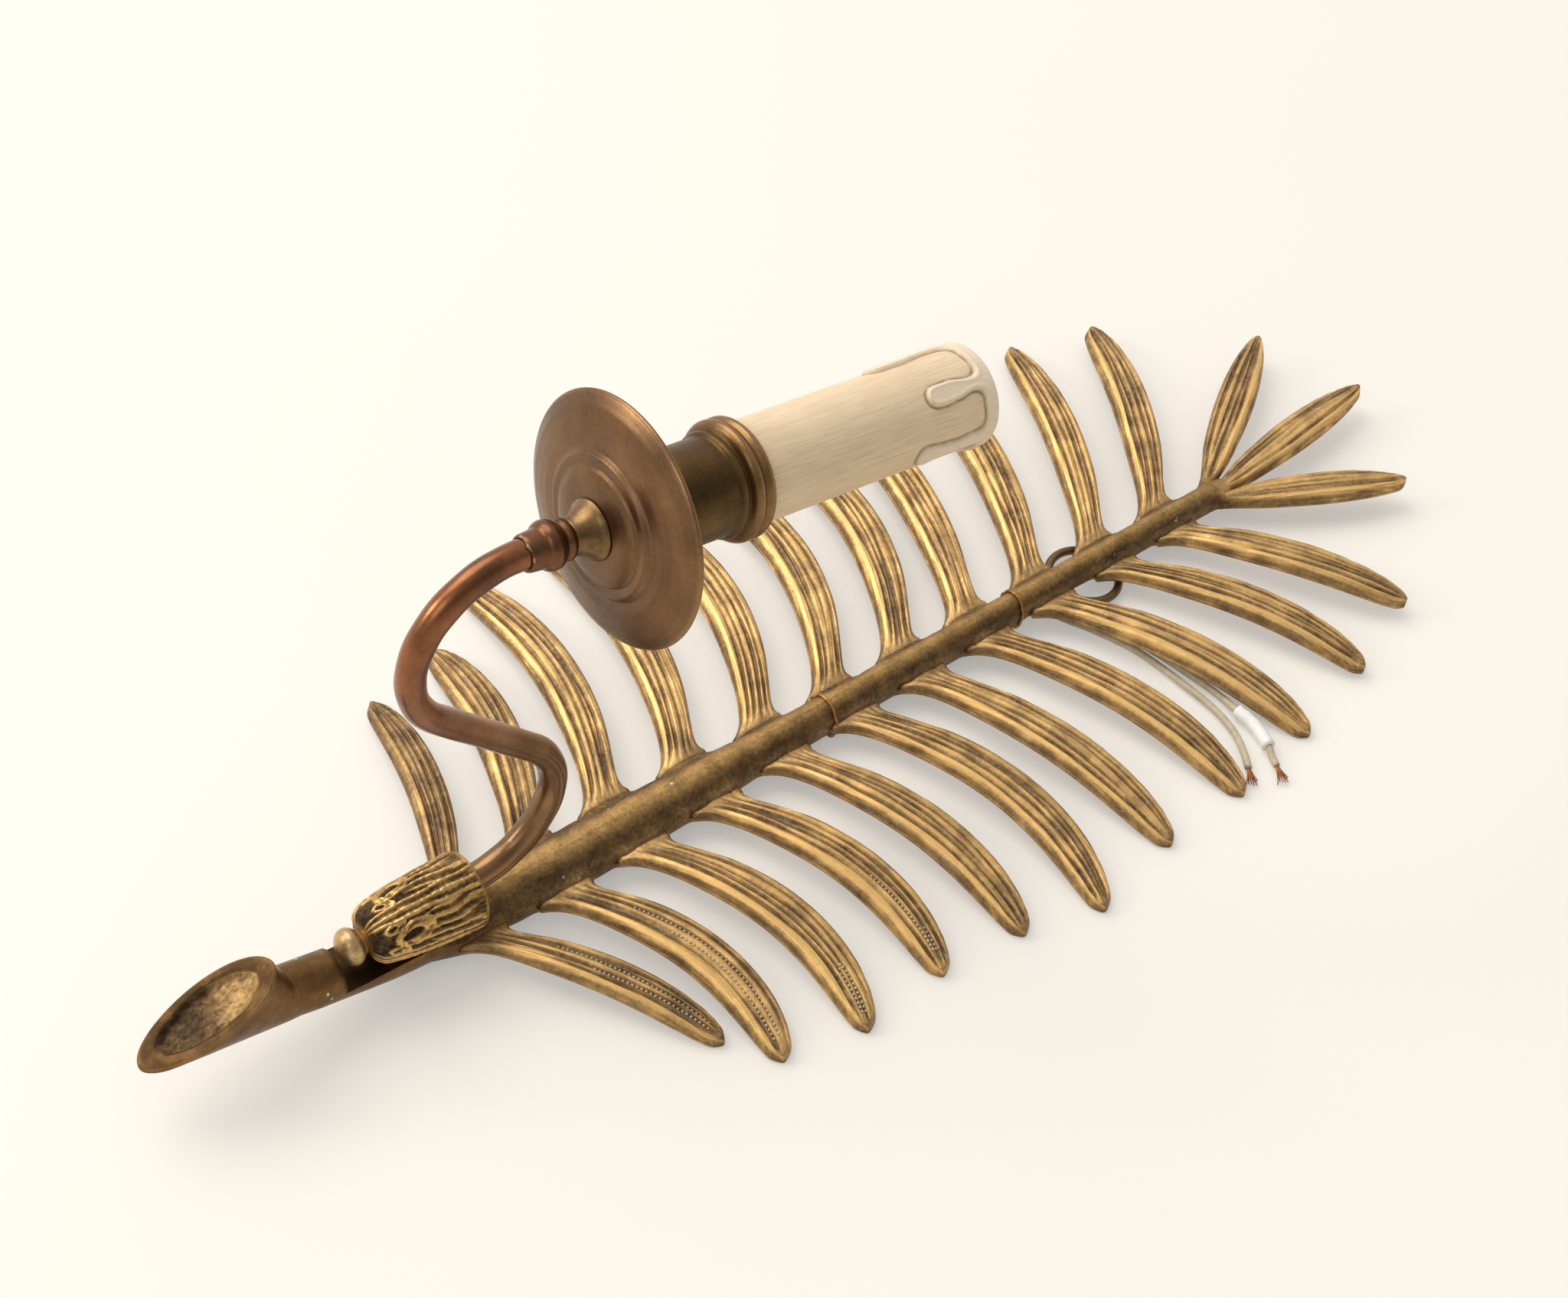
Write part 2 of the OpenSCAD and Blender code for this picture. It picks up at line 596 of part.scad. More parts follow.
// Candle cup with its mouth ring; the sleeve stands on the ledge inside the ring
cup_r = cup_d / 2;
ring_outer_r = cup_ring_d / 2;
ring_inner_r = sleeve_d / 2 + 0.35;
cup_to = cup_from + cup_h;
cup_outline = [
    [tube_r, cup_from], [cup_r - 1, cup_from], [cup_r, cup_from + 1], [cup_r, cup_ring_from - 3.4],
    [cup_r + 1, cup_ring_from - 2.6], [cup_r + 1, cup_ring_from - 1.2], [cup_r + 0.4, cup_ring_from - 0.8],
    [ring_outer_r - 0.8, cup_ring_from], [ring_outer_r, cup_ring_from + 1], [ring_outer_r, cup_ring_from + 2],
    [ring_outer_r - 0.7, cup_ring_from + 2.8], [ring_outer_r - 0.7, cup_ring_from + 3.2],
    [ring_outer_r, cup_ring_from + 4], [ring_outer_r, cup_ring_from + 5], [ring_outer_r - 0.8, cup_to],
    [ring_inner_r, cup_to], [ring_inner_r, sleeve_seat], [cup_r - cup_wall, sleeve_seat],
    [cup_r - cup_wall, nut_from], [tube_r, nut_from]
];
module candle_cup() color(dark_bronze) placed() on_candle_axis()
    rotate_extrude($fn = 96) polygon(cup_outline);
nut_r = 7.5;
module lock_nut() color(worn_brass) placed() on_candle_axis() translate([0, 0, nut_from]) difference() {
    cylinder(r = nut_r, h = nut_t, $fn = 6);
    translate([0, 0, -1]) cylinder(r = tube_r, h = nut_t + 2, $fn = 48);
}

// Lampholder on its carrier tube
carrier_bore_r = tube_r - tube_wall;
module holder_carrier() color(worn_brass) placed() on_candle_axis() rotate_extrude($fn = 48) polygon([
    [tube_r, carrier_from], [carrier_r + 1, carrier_from], [carrier_r + 1, tube_past_bend + 1],
    [carrier_r, tube_past_bend + 2], [carrier_r, porcelain_from - 2], [carrier_r + 1, porcelain_from - 1.2],
    [carrier_r + 1, porcelain_from], [carrier_bore_r, porcelain_from], [carrier_bore_r, tube_past_bend],
    [tube_r, tube_past_bend]
]);
porcelain_r = porcelain_d / 2;
shell_outer_r = shell_r + shell_wall;
contact_from = shell_from - 3;
contact_t = 0.8;
terminal_y = 8.4;
terminal_r = 1.2;
module holder_body() color(porcelain) placed() on_candle_axis() difference() {
    rotate_extrude($fn = 64) polygon([
        [carrier_bore_r, porcelain_from], [porcelain_r - 0.6, porcelain_from],
        [porcelain_r, porcelain_from + 0.6], [porcelain_r, porcelain_to - 0.6],
        [porcelain_r - 0.6, porcelain_to], [shell_outer_r, porcelain_to], [shell_outer_r, contact_from],
        [carrier_bore_r, contact_from]
    ]);
    for (side = [-1, 1]) translate([0, side * terminal_y, porcelain_from - 1])
        cylinder(r = terminal_r, h = 7, $fn = 24);
}
module holder_shell() color(worn_brass) placed() on_candle_axis() translate([0, 0, shell_from]) difference() {
    cylinder(r = shell_outer_r, h = shell_l, $fn = 64);
    translate([0, 0, -1]) cylinder(r = shell_r, h = shell_l + 2, $fn = 64);
}
module centre_contact() color(copper) placed() on_candle_axis() translate([0, 0, contact_from]) {
    cylinder(r = carrier_bore_r + 2, h = contact_t, $fn = 32);
    translate([0, 0, contact_t]) cylinder(r1 = 2.6, r2 = 1.4, h = 1.4, $fn = 32);
}
side_contact_t = 0.48;
module side_contact() color(copper) placed() on_candle_axis()
    translate([-shell_r - 0.38, -1.2, contact_from]) cube([side_contact_t, 2.4, shell_from - contact_from]);
module terminal_screws() color(steel) placed() on_candle_axis() for (side = [-1, 1])
    translate([0, side * terminal_y, porcelain_from]) {
        cylinder(r = terminal_r, h = 6, $fn = 24);
        translate([0, 0, -1.8]) cylinder(r = 2.2, h = 1.8, $fn = 24);
    }

// Candle sleeve, open at both ends, with a rounded mouth
sleeve_r = sleeve_d / 2;
module candle_sleeve() color(wax) placed() on_candle_axis() rotate_extrude($fn = 96) polygon([
    [sleeve_r - sleeve_wall, sleeve_from], [sleeve_r, sleeve_from], [sleeve_r, sleeve_to - 0.9],
    [sleeve_r - 0.3, sleeve_to - 0.25], [sleeve_r - 0.7, sleeve_to], [sleeve_r - sleeve_wall, sleeve_to - 0.1]
]);

// The two wires inside the lamp: along the channel, up into the arm's foot and through the arm
inner_wire_y = 1.2;
channel_wire_h = back_h + 2.2;
down_bend_r = 5;
wire_r = wire_d / 2;
function heading(turn) = [cos(turn), 0, sin(turn)];
function left_of(turn) = [-sin(turn), 0, cos(turn)];
function arc(middle, radius, from, to, steps) = [
    for (k = [0 : steps]) middle + radius * left_of(mix(from, to, k / steps))
];
lower_middle = [arm_bend_x, 0, tube_foot_h + lower_bend_r];
upper_middle = lower_middle - (lower_bend_r + upper_bend_r) * left_of(lower_bend_turn)
    + riser_l * heading(lower_bend_turn);
inner_route = concat(
    [[wire_exit_x, 0, channel_wire_h]],
    arc([wire_hole_x + down_bend_r, 0, channel_wire_h + down_bend_r], down_bend_r, 180, 90, 5),
    arc([wire_hole_x + down_bend_r, 0, tube_foot_h - down_bend_r], down_bend_r, 90, 0, 5),
    arc(lower_middle, -lower_bend_r, 0, lower_bend_turn, 8),
    arc(upper_middle, upper_bend_r, lower_bend_turn, -candle_lean, 8),
    [upper_middle + upper_bend_r * left_of(-candle_lean) + contact_from * heading(-candle_lean)]
);
inner_rings = [
    for (i = [0 : len(inner_route) - 1])
        let (
            ahead = inner_route[min(i + 1, len(inner_route) - 1)],
            along = unit(ahead - inner_route[max(i - 1, 0)]),
            upward = cross(along, [0, 1, 0])
        )
        [for (k = [0 : 7]) inner_route[i] + wire_r * (cos(45 * k) * [0, 1, 0] + sin(45 * k) * upward)]
];
module inner_wire(side) color("white") placed() translate([0, side * inner_wire_y, 0]) skin(inner_rings);

// Copper wire bound round the stalk, to hold the wires in their channel
tie_places = [85, wire_exit_x - 8];
tie_gap = 0.15;
module tie(x) color(copper) placed() {
    loop = whole(half_at(x));
    middle = [0, (crest_h + back_z(x)) / 2];
    translate([x - tie_d / 2, 0, 0]) rotate([90, 0, 90]) linear_extrude(tie_d) difference() {
        polygon([for (p = loop) p + (tie_gap + tie_d) * unit(p - middle)]);
        polygon([for (p = loop) p + tie_gap * unit(p - middle)]);
    }
}

// Hanging ring and the staple that it turns in
module hanging_ring() color(dark_bronze) placed()
    translate([staple_x, 0, staple_z]) rotate([0, ring_tilt, 0]) translate([ring_r, 0, 0])
        rotate_extrude($fn = 96) translate([ring_r, 0]) circle(d = ring_wire_d, $fn = 32);
module staple() color(dark_bronze) placed() translate([staple_x, 0, staple_z]) rotate([90, 0, 0]) {
    leg = staple_loop_r + staple_wire_d / 2;
    rotate([0, 0, 180]) rotate_extrude(angle = 180, $fn = 48)
        translate([leg, 0]) square(staple_wire_d, center = true);
    for (side = [-1, 1]) translate([side * leg, 1.7, 0])
        cube([staple_wire_d, 3.4, staple_wire_d], center = true);
}

// The free wires on the table, with the white sleeve and the bare ends
module free_wire(route) skin(sweep_rings(route, wire_r, 8));
module supply_wire_a() color("ivory") placed() free_wire(wire_a_route);
module supply_wire_b() color("ivory") placed() free_wire(wire_b_route);
sleeve_points = [wire_b_route[10], wire_b_route[11], wire_b_route[12]];
wire_sleeve_d = 4.2;
module wire_sleeve() color("white") placed() difference() {
    skin(sweep_rings(sleeve_points, wire_sleeve_d / 2, 12));
    free_wire(wire_b_route);
}
strand_l = 7;
module bare_end(route) {
    end = route[len(route) - 1];
    along = unit(end - route[len(route) - 2]);
    heading = atan2(along[1], along[0]);
    translate(end) rotate([0, 90, heading]) cylinder(r = wire_r * 0.7, h = strand_l, $fn = 24);
}
module wire_end_a() color(copper) placed() bare_end(wire_a_route);
module wire_end_b() color(copper) placed() bare_end(wire_b_route);

for (i = [1 : leaflets_per_side]) {
    leaf(i, 1);
    leaf(i, -1);
}
end_leaf(0);  // leaf_end_left
end_leaf(1);  // leaf_end_middle
end_leaf(2);  // leaf_end_right
stem();
bell();
finial();
fixing_screw();
fixing_washer();
arm_tube();
collar();
cone_spacer();
drip_pan();
candle_cup();
lock_nut();
holder_carrier();
holder_body();
holder_shell();
centre_contact();
side_contact();
terminal_screws();
candle_sleeve();
inner_wire(-1);  // inner_wire_a
inner_wire(1);  // inner_wire_b
tie(tie_places[0]);  // tie_lower
tie(tie_places[1]);  // tie_upper
staple();
hanging_ring();
supply_wire_a();
supply_wire_b();
wire_sleeve();
wire_end_a();
wire_end_b();
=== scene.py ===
"""Looks of the palm-frond wall lamp. Lengths are in millimetres until place() turns them into the frame's metres."""

import math

import bmesh
import bpy
import numpy as np
from mathutils import Matrix, Vector, noise


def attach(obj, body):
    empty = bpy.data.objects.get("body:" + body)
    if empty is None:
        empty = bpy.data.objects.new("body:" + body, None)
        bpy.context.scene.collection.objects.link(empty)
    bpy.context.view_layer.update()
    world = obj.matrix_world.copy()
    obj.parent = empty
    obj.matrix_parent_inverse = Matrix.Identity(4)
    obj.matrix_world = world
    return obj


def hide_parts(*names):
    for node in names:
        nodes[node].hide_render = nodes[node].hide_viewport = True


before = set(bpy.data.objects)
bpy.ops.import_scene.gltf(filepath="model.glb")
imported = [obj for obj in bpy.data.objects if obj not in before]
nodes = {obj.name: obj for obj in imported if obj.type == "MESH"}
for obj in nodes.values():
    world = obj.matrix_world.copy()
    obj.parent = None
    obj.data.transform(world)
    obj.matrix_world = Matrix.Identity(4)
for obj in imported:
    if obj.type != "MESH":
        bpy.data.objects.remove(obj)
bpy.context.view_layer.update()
MIDDLE = np.array([91.345, 7.007, 0.0])


def place(points):
    """Points of the drawing, in millimetres, as metres in the frame."""
    return (np.asarray(points, float) - MIDDLE) * 0.001


# Camera, at the photograph's viewing angle
YAW, DIP, ROLL = (math.radians(a) for a in (45.54, 49.24, 8.08))
ahead = Vector((math.cos(YAW) * math.cos(DIP), math.sin(YAW) * math.cos(DIP), -math.sin(DIP)))
aside = Vector((math.sin(YAW), -math.cos(YAW), 0))
above = aside.cross(ahead)
right = aside * math.cos(ROLL) + above * math.sin(ROLL)
upward = above * math.cos(ROLL) - aside * math.sin(ROLL)
camera = bpy.data.objects.new("camera", bpy.data.cameras.new("camera"))
camera.data.sensor_width = 36
camera.data.lens = 61.52
camera.data.clip_start = 0.01
turned = Matrix((right, upward, -ahead)).transposed().to_4x4()
camera.matrix_world = Matrix.Translation(Vector(place((-259.7, -332.0, 586.9)))) @ turned
bpy.context.scene.collection.objects.link(camera)
bpy.context.scene.camera = camera


# Small maths
def unit(v):
    return v / np.linalg.norm(v, axis=-1, keepdims=True)


def mix(a, b, t):
    return a + (b - a) * t


def ease(t):
    t = np.clip(t, 0, 1)
    return t * t * (3 - 2 * t)


def steps(x, table, column=1):
    """Value at x on a smooth line through the rows of a table."""
    rows = np.asarray(table, float)
    xs, ys = rows[:, 0], rows[:, column]
    slope = np.gradient(ys, xs)
    k = np.clip(np.searchsorted(xs, x) - 1, 0, len(xs) - 2)
    h = xs[k + 1] - xs[k]
    t = np.clip((x - xs[k]) / h, 0, 1)
    a, b = ys[k], ys[k + 1]
    turn = t * t * (3 - 2 * t)
    return mix(a, b, turn) + h * (t * (1 - t) ** 2 * slope[k] - t * t * (1 - t) * slope[k + 1])


def wobble(points, size, seed=0.0):
    """Smooth noise from -1 to 1 at each point, with features of about the given size in millimetres."""
    flat = np.asarray(points, float).reshape(-1, 3) / size + seed * 7.31
    return np.array([noise.noise(Vector(p)) for p in flat]).reshape(np.shape(points)[:-1])


def smooth_route(route, per_span=6):
    """A smooth line through the points of a route."""
    p = np.asarray(route, float)
    p = np.vstack([2 * p[0] - p[1], p, 2 * p[-1] - p[-2]])
    line = []
    for i in range(1, len(p) - 2):
        for t in np.arange(per_span) / per_span:
            line.append(0.5 * (2 * p[i] + (p[i + 1] - p[i - 1]) * t
                               + (2 * p[i - 1] - 5 * p[i] + 4 * p[i + 1] - p[i + 2]) * t ** 2
                               + (3 * p[i] - p[i - 1] - 3 * p[i + 1] + p[i + 2]) * t ** 3))
    line.append(p[-2])
    return np.array(line)


# Meshes
def make(name, points, faces, material, body="lamp", replaced=(), slot=None, values=None, flat_angle=None):
    """A piece from points in millimetres, with its own values at each point for the material to read."""
    mesh = bpy.data.meshes.new(name)
    mesh.from_pydata(place(points).tolist(), [], [list(f) for f in faces])
    mesh.validate()
    for key, value in (values or {}).items():
        layer = mesh.attributes.new(key, "FLOAT", "POINT")
        layer.data.foreach_set("value", np.asarray(value, np.float32).ravel())
    mesh.polygons.foreach_set("use_smooth", [True] * len(mesh.polygons))
    piece = bpy.data.objects.new(name, mesh)
    bpy.context.scene.collection.objects.link(piece)
    if flat_angle:
        mesh.set_sharp_from_angle(angle=math.radians(flat_angle))
    mesh.materials.append(material)
    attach(piece, body)
    if replaced:
        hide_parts(*([replaced] if isinstance(replaced, str) else replaced))
    return piece


def ring_faces(rows, columns, closed_rows=False, caps=True):
    """Faces of a skin over rings of points; the rings are closed."""
    faces = []
    for i in range(rows - 1 + closed_rows):
        a, b = i * columns, (i + 1) % rows * columns
        for k in range(columns):
            n = (k + 1) % columns
            faces.append((a + k, b + k, b + n, a + n))
    if caps and not closed_rows:
        faces.append(tuple(range(columns)))
        faces.append(tuple((rows - 1) * columns + k for k in range(columns - 1, -1, -1)))
    return faces


def tube_rings(route, radius, sides, flat=None):
    """Rings round a route; radius is one number or one for each point."""
    p = np.asarray(route, float)
    along = unit(np.gradient(p, axis=0))
    radius = np.broadcast_to(radius, len(p))
    across = np.zeros_like(p)
    first = np.cross([0, 0, 1.0], along[0]) if abs(along[0][2]) < 0.95 else np.array([0, 1.0, 0])
    for i, a in enumerate(along):
        first = first - a * (first @ a)
        first = first / np.linalg.norm(first)
        across[i] = first
    other = np.cross(along, across)
    turn = np.linspace(0, 2 * np.pi, sides, endpoint=False)
    return (p[:, None] + radius[:, None, None] * (np.cos(turn)[None, :, None] * across[:, None]
                                                  + np.sin(turn)[None, :, None] * other[:, None]))


def tube(name, route, radius, sides, material, **options):
    rings = tube_rings(route, radius, sides)
    return make(name, rings.reshape(-1, 3), ring_faces(*rings.shape[:2]), material, **options)


# The candle's axis: station 0 is the end of the arm's upper bend
AXIS = np.array([0.98714, 0, -0.15988])
AXIS_START = np.array([-20.6429, 0, 137.0207])
EAST = np.array([0, 1.0, 0])
NORTH = np.cross(AXIS, EAST)


def on_axis(station, radius, turn, start=AXIS_START, axis=AXIS):
    north = np.cross(axis, EAST)
    station, radius, turn = np.broadcast_arrays(station, radius, turn)
    return (start + station[..., None] * axis
            + radius[..., None] * (np.cos(turn)[..., None] * EAST + np.sin(turn)[..., None] * north))


def rounded(profile, radius=0.35, steps_round=4):
    """A profile of (radius, station) points with its corners rounded."""
    p = np.asarray(profile, float)
    out = [p[0]]
    for a, b, c in zip(p[:-2], p[1:-1], p[2:]):
        la, lc = np.linalg.norm(b - a), np.linalg.norm(c - b)
        ra, rc = min(radius, la * 0.45), min(radius, lc * 0.45)
        s, e = b + (a - b) * ra / la, b + (c - b) * rc / lc
        for t in np.linspace(0, 1, steps_round):
            out.append((1 - t) ** 2 * s + 2 * t * (1 - t) * b + t * t * e)
    out.append(p[-1])
    return np.array(out)


def turned_piece(name, profile, material, sides=128, start=AXIS_START, axis=AXIS, corner=0.35, **options):
    """A closed profile of (radius, station) points turned round an axis."""
    p = rounded(list(profile) + [profile[0]], corner)[:-1]
    turn = np.linspace(0, 2 * np.pi, sides, endpoint=False)
    points = on_axis(p[:, 1][None], p[:, 0][None], turn[:, None], start, axis)
    faces = ring_faces(sides, len(p), closed_rows=True)
    return make(name, points.reshape(-1, 3), faces, material, **options)


# Materials
def new_material(name):
    material = bpy.data.materials.new(name)
    material.use_nodes = True
    return material, material.node_tree, material.node_tree.nodes["Principled BSDF"]


def add(tree, kind, inputs=None, **settings):
    node = tree.nodes.new("ShaderNode" + kind)
    for key, value in settings.items():
        setattr(node, key, value)
    for key, value in (inputs or {}).items():
        if isinstance(value, bpy.types.NodeSocket):
            tree.links.new(value, node.inputs[key])
        else:
            node.inputs[key].default_value = value
    return node


def maths(tree, operation, a, b=0.0, c=None, clamp=False):
    values = {0: a, 1: b} if c is None else {0: a, 1: b, 2: c}
    return add(tree, "Math", values, operation=operation, use_clamp=clamp).outputs[0]


def speckle(tree, where, scale, detail=4.0, rough=0.55, stretch=None):
    """Noise from 0 to 1 in object space, stretched along an axis where asked."""
    if stretch:
        where = add(tree, "Mapping", {"Vector": where, "Scale": stretch}).outputs[0]
    values = {"Vector": where, "Scale": scale, "Detail": detail, "Roughness": rough}
    return add(tree, "TexNoise", values).outputs[0]


def ramp(tree, value, stops):
    node = add(tree, "ValToRGB", {"Fac": value})
    items = node.color_ramp.elements
    while len(items) < len(stops):
        items.new(0.5)
    for item, (at, colour) in zip(items, stops):
        item.position = at
        item.color = (*colour, 1)
    return node.outputs[0]


def span(tree, value, low, high, to_low=0.0, to_high=1.0):
    values = {"Value": value, "From Min": low, "From Max": high, "To Min": to_low, "To Max": to_high}
    return add(tree, "MapRange", values, clamp=True).outputs[0]


def blend_colour(tree, amount, a, b):
    node = add(tree, "Mix", data_type="RGBA")
    for socket, value in ((node.inputs["Factor"], amount), (node.inputs[6], a), (node.inputs[7], b)):
        if isinstance(value, bpy.types.NodeSocket):
            tree.links.new(value, socket)
        elif isinstance(value, tuple):
            socket.default_value = (*value, 1)
        else:
            socket.default_value = value
    return node.outputs[2]


def aged_metal(name, dark, body, bright, wear=0.5, relief=0.7, rough=(0.34, 0.6), grain=0.25, residue=0.0,
               metallic=0.9, streaks=0.0, beads=False, rings=False, coat=0.0, patch=140, dust=0.0, mottle=0.55,
               copper=None):
    """Old metal: dark in its recesses, bright where it is rubbed, with cast grain and pale residue. The value named
    relief on a piece's points says how high each point stands, from 0 to 1; on the leaflets it also holds a painted
    highlight along the near edge, and on the stalk a painted lighter side on +Y."""
    material, tree, shader = new_material(name)
    where = add(tree, "TexCoord").outputs["Object"]
    height = add(tree, "Attribute", attribute_name="relief").outputs["Fac"]
    broad = speckle(tree, where, patch, 3)
    fine = speckle(tree, where, 900, 6, 0.7)
    grit = speckle(tree, where, 3200, 3, 0.6)
    level = maths(tree, "MULTIPLY_ADD", height, relief, wear - 0.325 - mottle / 2)
    level = maths(tree, "MULTIPLY_ADD", broad, 0.75, maths(tree, "SUBTRACT", level, 0.375))
    level = maths(tree, "MULTIPLY_ADD", fine, mottle, maths(tree, "ADD", level, 0.025))
    bump_from = maths(tree, "MULTIPLY_ADD", fine, 0.6, maths(tree, "MULTIPLY", grit, 0.4))
    if streaks:
        along = add(tree, "Attribute", attribute_name="along").outputs["Fac"]
        across = add(tree, "Attribute", attribute_name="across").outputs["Fac"]
        lane = add(tree, "CombineXYZ", {"X": maths(tree, "MULTIPLY", along, 0.09), "Y": across}).outputs[0]
        streak = speckle(tree, lane, 1.1, 5, 0.68)
        level = maths(tree, "MULTIPLY_ADD", maths(tree, "SUBTRACT", streak, 0.5), streaks, level)
        bump_from = maths(tree, "MULTIPLY_ADD", streak, 0.9, bump_from)
    colour = ramp(tree, level, [(0.08, dark), (0.42, body), (0.86, bright)])
    if copper:
        share = add(tree, "Attribute", attribute_name="copper").outputs["Fac"]
        deep = tuple(0.3 * c for c in copper)
        redder = ramp(tree, level, [(0.08, deep), (0.42, copper), (0.9, (0.52, 0.25, 0.13))])
        colour = blend_colour(tree, share, colour, redder)
    roughness = span(tree, level, 0.1, 0.9, rough[1], rough[0])
    if residue:
        chalk = span(tree, speckle(tree, where, 420, 5, 0.75), 0.52, 0.66)
        low = maths(tree, "SUBTRACT", 1.0, span(tree, height, 0.15, 0.5))
        pale = maths(tree, "MULTIPLY", maths(tree, "MULTIPLY", chalk, low), residue, clamp=True)
        if beads:
            bead = add(tree, "Attribute", attribute_name="bead").outputs["Fac"]
            worn = span(tree, speckle(tree, where, 300), 0.38, 0.5, 0.25, 0.85)
            pale = maths(tree, "MAXIMUM", pale, maths(tree, "MULTIPLY", bead, worn))
        colour = blend_colour(tree, pale, colour, (0.60, 0.54, 0.44))
        tree.links.new(maths(tree, "MULTIPLY_ADD", pale, -0.8 * metallic, metallic), shader.inputs["Metallic"])
        roughness = maths(tree, "MAXIMUM", roughness, maths(tree, "MULTIPLY", pale, 0.75))
    else:
        shader.inputs["Metallic"].default_value = metallic
    if rings:
        far = add(tree, "Attribute", attribute_name="radius").outputs["Fac"]
        turnings = speckle(tree, add(tree, "CombineXYZ", {"X": far}).outputs[0], 1.9, 4, 0.8)
        bump_from = maths(tree, "MULTIPLY_ADD", turnings, 1.6, bump_from)
        roughness = maths(tree, "MULTIPLY_ADD", turnings, 0.12, maths(tree, "SUBTRACT", roughness, 0.06))
        shader.inputs["Anisotropic"].default_value = 0.6
        tree.links.new(add(tree, "Tangent", direction_type="RADIAL", axis="X").outputs[0], shader.inputs["Tangent"])
    if dust:
        speck = add(tree, "TexVoronoi", {"Vector": where, "Scale": 210.0}).outputs["Distance"]
        chosen = span(tree, speckle(tree, where, 95), 0.56, 0.6)
        fleck = maths(tree, "MULTIPLY", span(tree, speck, 0.06, 0.12, 1.0, 0.0), chosen)
        colour = blend_colour(tree, maths(tree, "MULTIPLY", fleck, dust), colour, (0.75, 0.72, 0.66))
    tree.links.new(colour, shader.inputs["Base Color"])
    tree.links.new(roughness, shader.inputs["Roughness"])
    bump = add(tree, "Bump", {"Height": bump_from, "Strength": grain, "Distance": 0.0004})
    tree.links.new(bump.outputs[0], shader.inputs["Normal"])
    if coat:
        shader.inputs["Coat Weight"].default_value = coat
        shader.inputs["Coat Roughness"].default_value = 0.14
    return material


def plain(name, colour, other, scale, rough, metallic=0.0, bump=0.1, stretch=None, subsurface=0.0):
    """A simple surface with two close colours in a noise pattern."""
    material, tree, shader = new_material(name)
    where = add(tree, "TexCoord").outputs["Object"]
    value = speckle(tree, where, scale, 5, 0.6, stretch)
    tree.links.new(ramp(tree, value, [(0.3, colour), (0.7, other)]), shader.inputs["Base Color"])
    tree.links.new(span(tree, value, 0.3, 0.7, rough * 0.85, rough * 1.1), shader.inputs["Roughness"])
    node = add(tree, "Bump", {"Height": value, "Strength": bump, "Distance": 0.0004})
    tree.links.new(node.outputs[0], shader.inputs["Normal"])
    shader.inputs["Metallic"].default_value = metallic
    shader.inputs["Subsurface Weight"].default_value = subsurface
    return material


leaf_brass = aged_metal("leaf_brass", (0.115, 0.072, 0.040), (0.33, 0.20, 0.082), (0.80, 0.50, 0.185), wear=0.54,
                        relief=0.78, rough=(0.33, 0.60), grain=0.4, residue=0.26, streaks=0.55, beads=True, dust=0.25)
stem_bronze = aged_metal("stem_bronze", (0.055, 0.033, 0.018), (0.19, 0.112, 0.047), (0.46, 0.275, 0.095), wear=0.46,
                         relief=0.55, rough=(0.38, 0.62), grain=0.7, residue=0.22, dust=0.6, mottle=0.95)
bar_bronze = aged_metal("bar_bronze", (0.060, 0.032, 0.012), (0.18, 0.094, 0.032), (0.42, 0.24, 0.08), wear=0.36,
                        relief=0.55, rough=(0.30, 0.44), grain=0.14, dust=0.9, mottle=0.35)
hollow_bronze = aged_metal("hollow_bronze", (0.075, 0.046, 0.026), (0.22, 0.13, 0.058), (0.66, 0.42, 0.17), wear=0.40,
                           relief=0.60, rough=(0.42, 0.6), grain=0.9, mottle=0.8)
ring_bronze = aged_metal("ring_bronze", (0.07, 0.045, 0.025), (0.20, 0.125, 0.06), (0.40, 0.26, 0.11), wear=0.72,
                         relief=0.0, rough=(0.36, 0.5), grain=0.2)
bell_gold = aged_metal("bell_gold", (0.040, 0.026, 0.015), (0.25, 0.145, 0.054), (0.64, 0.40, 0.14), wear=0.40,
                       relief=1.0, rough=(0.28, 0.66), grain=0.3, mottle=0.5)
ball_gold = aged_metal("ball_gold", (0.20, 0.13, 0.065), (0.62, 0.42, 0.20), (0.95, 0.72, 0.42), wear=0.62,
                       relief=0.5, rough=(0.26, 0.42), grain=0.12)
collar_copper = aged_metal("collar_copper", (0.09, 0.036, 0.016), (0.23, 0.095, 0.038), (0.40, 0.18, 0.08), wear=0.5,
                           relief=0.2, rough=(0.24, 0.36), grain=0.06, coat=0.2, patch=60, mottle=0.3)
arm_lacquer = aged_metal("arm_lacquer", (0.115, 0.060, 0.026), (0.28, 0.147, 0.060), (0.48, 0.275, 0.13), wear=0.5,
                         relief=0.2, rough=(0.24, 0.34), grain=0.06, coat=0.3, patch=60, dust=0.3, mottle=0.3,
                         copper=(0.29, 0.105, 0.036))
pan_bronze = aged_metal("pan_bronze", (0.085, 0.046, 0.023), (0.205, 0.11, 0.052), (0.40, 0.22, 0.10), wear=0.46,
                        relief=0.35, rough=(0.22, 0.32), grain=0.12, rings=True, patch=50, dust=0.7, mottle=0.35)
cone_brass = aged_metal("cone_brass", (0.10, 0.058, 0.025), (0.27, 0.16, 0.068), (0.50, 0.32, 0.14), wear=0.55,
                        relief=0.3, rough=(0.24, 0.36), grain=0.1)
cup_bronze = aged_metal("cup_bronze", (0.05, 0.028, 0.010), (0.135, 0.075, 0.026), (0.36, 0.20, 0.085), wear=0.5,
                        relief=0.45, rough=(0.26, 0.40), grain=0.12, patch=60, mottle=0.35)
hidden_brass = aged_metal("hidden_brass", (0.20, 0.13, 0.05), (0.50, 0.34, 0.13), (0.70, 0.50, 0.22), wear=0.6,
                          relief=0.0, rough=(0.28, 0.4), grain=0.08)
